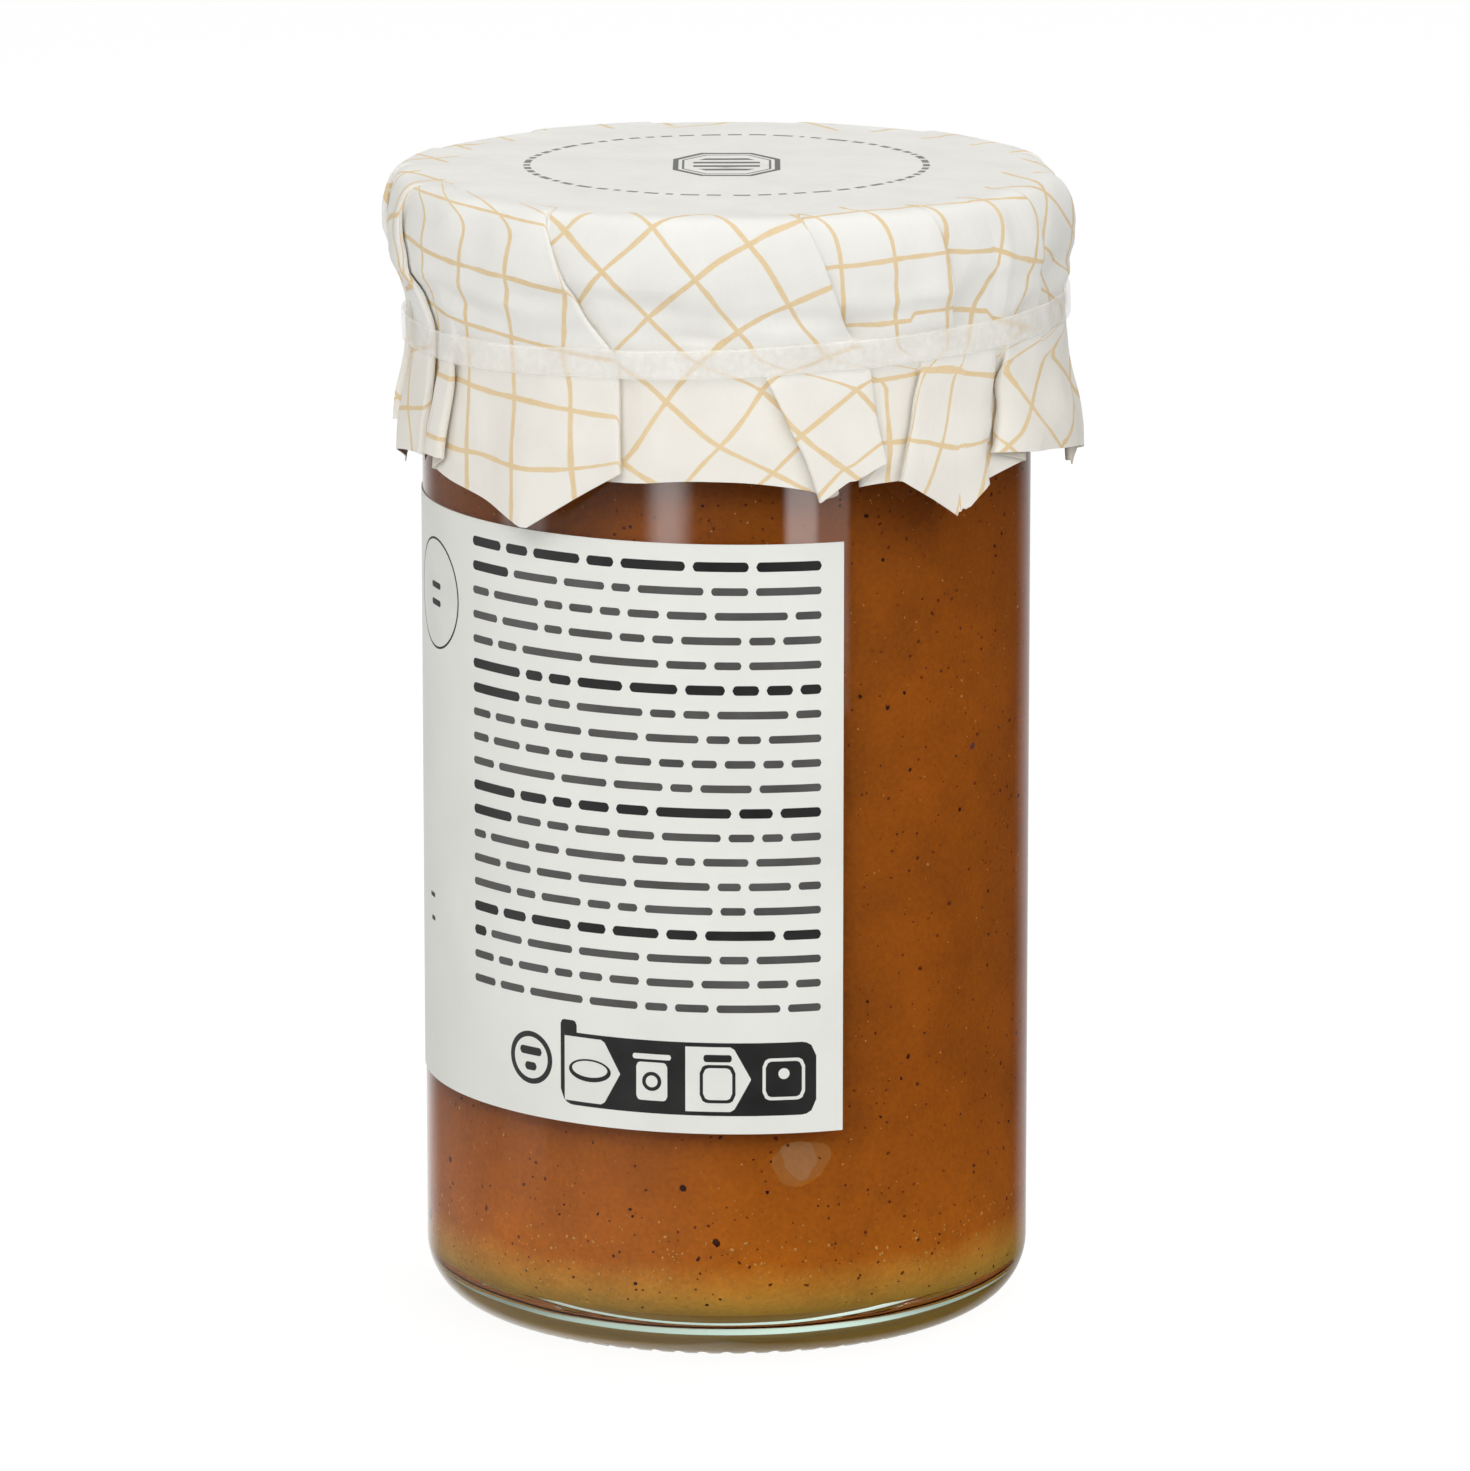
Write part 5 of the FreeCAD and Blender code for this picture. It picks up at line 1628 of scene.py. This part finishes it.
def make_band(material):
    """Flat band pressed a little unevenly on the pleats under it."""
    inner = MERIDIAN[BAND_ROW][0] + layer_heights(BAND_ROW)[0] + BAND_FIT
    outline = []
    half = BAND_WIDTH / 2
    r = BAND_FILM / 2
    for i in range(9):
        outline.append((r - r * math.cos(math.pi * i / 8), half - r + r * math.sin(math.pi * i / 8)))
    for i in range(1, 6):
        outline.append((2 * r, (half - r) * (1 - i / 3)))
    for i in range(1, 9):
        outline.append((r + r * math.cos(math.pi * i / 8), -half + r - r * math.sin(math.pi * i / 8)))
    for i in range(1, 6):
        outline.append((0.0, (half - r) * (-1 + i / 3)))
    segments = 360
    tilt = math.radians(BAND_TILT)
    points, faces = [], []
    for k in range(segments):
        degrees = 360.0 * k / segments
        a = math.radians(degrees)
        wave = noise.noise(Vector((math.sin(a) * 3.1, math.cos(a) * 3.1, 0.4)))
        pinch = noise.noise(Vector((math.sin(a) * 6.0, math.cos(a) * 6.0, 5.0)))
        for out, up in outline:
            x, y, z = polar(inner + out * (1 + 0.1 * pinch), degrees, up * (1 + 0.06 * pinch) + 0.18 * wave)
            points.append((x * math.cos(tilt) - z * math.sin(tilt) + BAND_SHIFT, y,
                           x * math.sin(tilt) + z * math.cos(tilt) + BAND_HEIGHT))
    count = len(outline)
    for k in range(segments):
        for i in range(count):
            j, n = (i + 1) % count, (k + 1) % segments
            faces.append((k * count + i, k * count + j, n * count + j, n * count + i))
    return new_piece("band_ring", points, faces, material, ("elastic_band",))


# =====================================================================================
# Studio
# =====================================================================================

def make_world():
    """White surroundings for what is seen, a soft grey fill for what is lit."""
    world = bpy.data.worlds.new("studio")
    bpy.context.scene.world = world
    world.use_nodes = True
    tree = world.node_tree
    tree.nodes.clear()
    path = add_node(tree, "ShaderNodeLightPath")
    where = add_node(tree, "ShaderNodeTexCoord")
    axes = add_node(tree, "ShaderNodeSeparateXYZ")
    feed(tree, axes.inputs[0], where.outputs["Generated"])
    x2 = reckon(tree, "MULTIPLY", axes.outputs[0], axes.outputs[0])
    y2 = reckon(tree, "MULTIPLY", axes.outputs[1], axes.outputs[1])
    level = reckon(tree, "SQRT", reckon(tree, "ADD", reckon(tree, "ADD", x2, y2), 1e-6))
    behind = reckon(tree, "DIVIDE", axes.outputs[1], level)
    aside = reckon(tree, "DIVIDE", axes.outputs[0], level)
    room = remap(tree, aside, -0.9, 0.25, LEFT_GLOSS, ROOM_GLOSS, True)
    edge = remap(tree, aside, -0.3, 0.3, 0.95, 0.5, True)
    backdrop = remap(tree, behind, 0.78, 1.0, room, edge, True)
    outward = remap(tree, behind, 0.1, 0.5, room, PAST_FOOT, True)
    # A ray that leaves the glass after it met the filling brings the filling its light.
    scattered = reckon(tree, "GREATER_THAN", path.outputs["Diffuse Depth"], 0.5)
    through = remap(tree, scattered, 0.0, 1.0, outward, INSIDE_FILL)
    seen = path.outputs["Is Camera Ray"]
    glossy = reckon(tree, "MULTIPLY", path.outputs["Is Glossy Ray"], backdrop)
    past_glass = reckon(tree, "MULTIPLY", path.outputs["Is Transmission Ray"], through)
    looking = reckon(tree, "MAXIMUM", path.outputs["Is Glossy Ray"],
                     path.outputs["Is Transmission Ray"])
    plain = reckon(tree, "SUBTRACT", 1.0, reckon(tree, "MAXIMUM", seen, looking))
    fill = reckon(tree, "MULTIPLY", plain, ROOM_FILL)
    strength = reckon(tree, "ADD", reckon(tree, "ADD", seen, past_glass),
                      reckon(tree, "ADD", glossy, fill))
    background = add_node(tree, "ShaderNodeBackground")
    background.inputs["Color"].default_value = (1, 1, 1, 1)
    feed(tree, background.inputs["Strength"], strength)
    output = add_node(tree, "ShaderNodeOutputWorld")
    feed(tree, output.inputs["Surface"], background.outputs[0])


ROOM_GLOSS = 0.02             # how bright the room in front shows in reflections
LEFT_GLOSS = 0.36             # and the paler wall on its left
ROOM_FILL = 0.42              # light from the whole room on the object
INSIDE_FILL = 1.0             # and on the filling, which it reaches through the glass
PAST_FOOT = 0.38              # what the foot of the glass shows of the room behind the jar
FLOOR_FILL = 0.72             # light of the floor on the filling, through the glass
FLOOR_GLOW = 0.9              # share of the floor's white that no shadow darkens

# Soft boxes: name, degrees from the front, height of the middle as an elevation, distance in
# metres, width, height, brightness against white, and how far the side edges fade and how far
# the upper and lower ones, as shares.
SOFT_BOXES = (
    ("key", -14.0, 36.0, 1.3, 0.80, 0.70, 3.75, 0.12, 0.12),
    ("right_fill", 42.0, 28.0, 1.5, 0.90, 0.80, 2.5, 0.12, 0.12),
    ("top", 150.0, 72.0, 1.3, 0.80, 0.60, 3.3, 0.12, 0.12),
    ("left_box", -82.0, 8.0, 0.9, 0.46, 0.9, 1.5, 0.45, 0.45),
    ("left_strip", -21.5, -8.4, 1.0, 0.36, 0.11, 4.2, 0.9, 0.3),
    ("right_strip", 27.3, -8.4, 1.0, 0.27, 0.11, 4.7, 0.55, 0.3),
    ("right_strip_edge", 39.0, -8.4, 1.0, 0.30, 0.11, 1.3, 0.35, 0.3),
)


def make_soft_box(name, degrees, elevation, distance, width, height, brightness, *fades):
    """One area lamp that faces the jar, its brightness falling off at its edges."""
    light = bpy.data.lights.new(name, "AREA")
    light.shape = "RECTANGLE"
    light.size, light.size_y = width, height
    light.energy = brightness * math.pi * width * height
    light.use_nodes = True
    tree = light.node_tree
    emission = tree.nodes["Emission"]
    where = add_node(tree, "ShaderNodeNewGeometry")
    axes = add_node(tree, "ShaderNodeSeparateXYZ")
    feed(tree, axes.inputs[0], where.outputs["Parametric"])
    shares = []
    for axis, fade in zip(axes.outputs[:2], fades):
        off = reckon(tree, "ABSOLUTE", reckon(tree, "SUBTRACT", axis, 0.5))
        shares.append(remap(tree, off, 0.5, 0.5 * (1 - fade), 0.0, 1.0, True))
    feed(tree, emission.inputs["Strength"], reckon(tree, "MULTIPLY", *shares))
    lamp = bpy.data.objects.new(name, light)
    bpy.context.scene.collection.objects.link(lamp)
    aim = Vector((0, 0, 0.065))
    a, e = math.radians(degrees), math.radians(elevation)
    way = Vector((math.sin(a) * math.cos(e), -math.cos(a) * math.cos(e), math.sin(e)))
    lamp.location = aim + way * distance
    lamp.rotation_euler = way.to_track_quat("Z", "Y").to_euler()


FLOOR_DEPTH = -0.00002        # in metres; the foot doesn't touch it


def make_floor():
    """White floor that only keeps a faint shadow."""
    half = 4.0
    mesh = bpy.data.meshes.new("floor")
    corners = [(-half, -half), (half, -half), (half, half), (-half, half)]
    mesh.from_pydata([(x, y, FLOOR_DEPTH) for x, y in corners], [], [(0, 1, 2, 3)])
    floor = bpy.data.objects.new("floor", mesh)
    bpy.context.scene.collection.objects.link(floor)
    material, tree, shader = new_material("floor_white")
    shader.inputs["Base Color"].default_value = (0.8, 0.8, 0.8, 1)
    shader.inputs["Roughness"].default_value = 0.9
    shader.inputs["Specular IOR Level"].default_value = 0.0
    path = add_node(tree, "ShaderNodeLightPath")
    seen = reckon(tree, "MAXIMUM", path.outputs["Is Camera Ray"],
                  path.outputs["Is Transmission Ray"])
    glow = add_node(tree, "ShaderNodeEmission")
    glow.inputs["Color"].default_value = (1, 1, 1, 1)
    soft = add_node(tree, "ShaderNodeBsdfDiffuse")
    soft.inputs["Color"].default_value = (0.15, 0.15, 0.15, 1)
    # Through the glass foot the floor shows a painted shadow, dark near the jar and grey well behind it,
    # but it lights the filling in full.
    place = reckon_vector(tree, "SCALE", add_node(tree, "ShaderNodeTexCoord").outputs["Object"],
                          scale=1000.0)
    axes = add_node(tree, "ShaderNodeSeparateXYZ")
    feed(tree, axes.inputs[0], place)
    clear = remap(tree, axes.outputs[1], 60.0, 320.0, 0.08, 0.5, True)
    scattered = reckon(tree, "GREATER_THAN", path.outputs["Diffuse Depth"], 0.5)
    beyond = remap(tree, scattered, 0.0, 1.0, clear, FLOOR_FILL)
    through = remap(tree, path.outputs["Is Transmission Ray"], 0.0, 1.0, 1.0, beyond)
    feed(tree, glow.inputs["Strength"], reckon(tree, "MULTIPLY", through, FLOOR_GLOW))
    both = add_node(tree, "ShaderNodeAddShader")
    feed(tree, both.inputs[0], glow.outputs[0])
    feed(tree, both.inputs[1], soft.outputs[0])
    mix = add_node(tree, "ShaderNodeMixShader")
    feed(tree, mix.inputs[0], seen)
    feed(tree, mix.inputs[1], shader.outputs[0])
    feed(tree, mix.inputs[2], both.outputs[0])
    feed(tree, tree.nodes["Material Output"].inputs["Surface"], mix.outputs[0])
    mesh.materials.append(material)
    floor.visible_glossy = False


def make_camera():
    """Long lens a metre away, looking slightly down."""
    data = bpy.data.cameras.new("camera")
    data.lens = 235.3
    data.sensor_width = 36.0
    data.clip_start, data.clip_end = 0.05, 20.0
    camera = bpy.data.objects.new("camera", data)
    bpy.context.scene.collection.objects.link(camera)
    elevation = math.radians(12.08)
    way = Vector((0, -math.cos(elevation), math.sin(elevation)))
    camera.location = Vector((0.00091, 0, 0.0623)) + way * 1.05
    camera.rotation_euler = way.to_track_quat("Z", "Y").to_euler()
    bpy.context.scene.camera = camera


def dress_lid(material):
    """The lid keeps its CAD shape and gets its finish."""
    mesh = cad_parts["lid"].data
    mesh.materials.clear()
    mesh.materials.append(material)


# =====================================================================================
# Build
# =====================================================================================

bpy.context.scene.view_settings.view_transform = "Standard"
make_effects()
make_glass(make_glass_material())
make_curd(make_curd_material())
make_flecks()
make_label(make_label_material())
make_label_print()
make_cover(make_cover_material(), make_cover_inside_material())
make_band(make_band_material())
dress_lid(make_lid_material())
make_world()
for box in SOFT_BOXES:
    make_soft_box(*box)
make_floor()
make_camera()
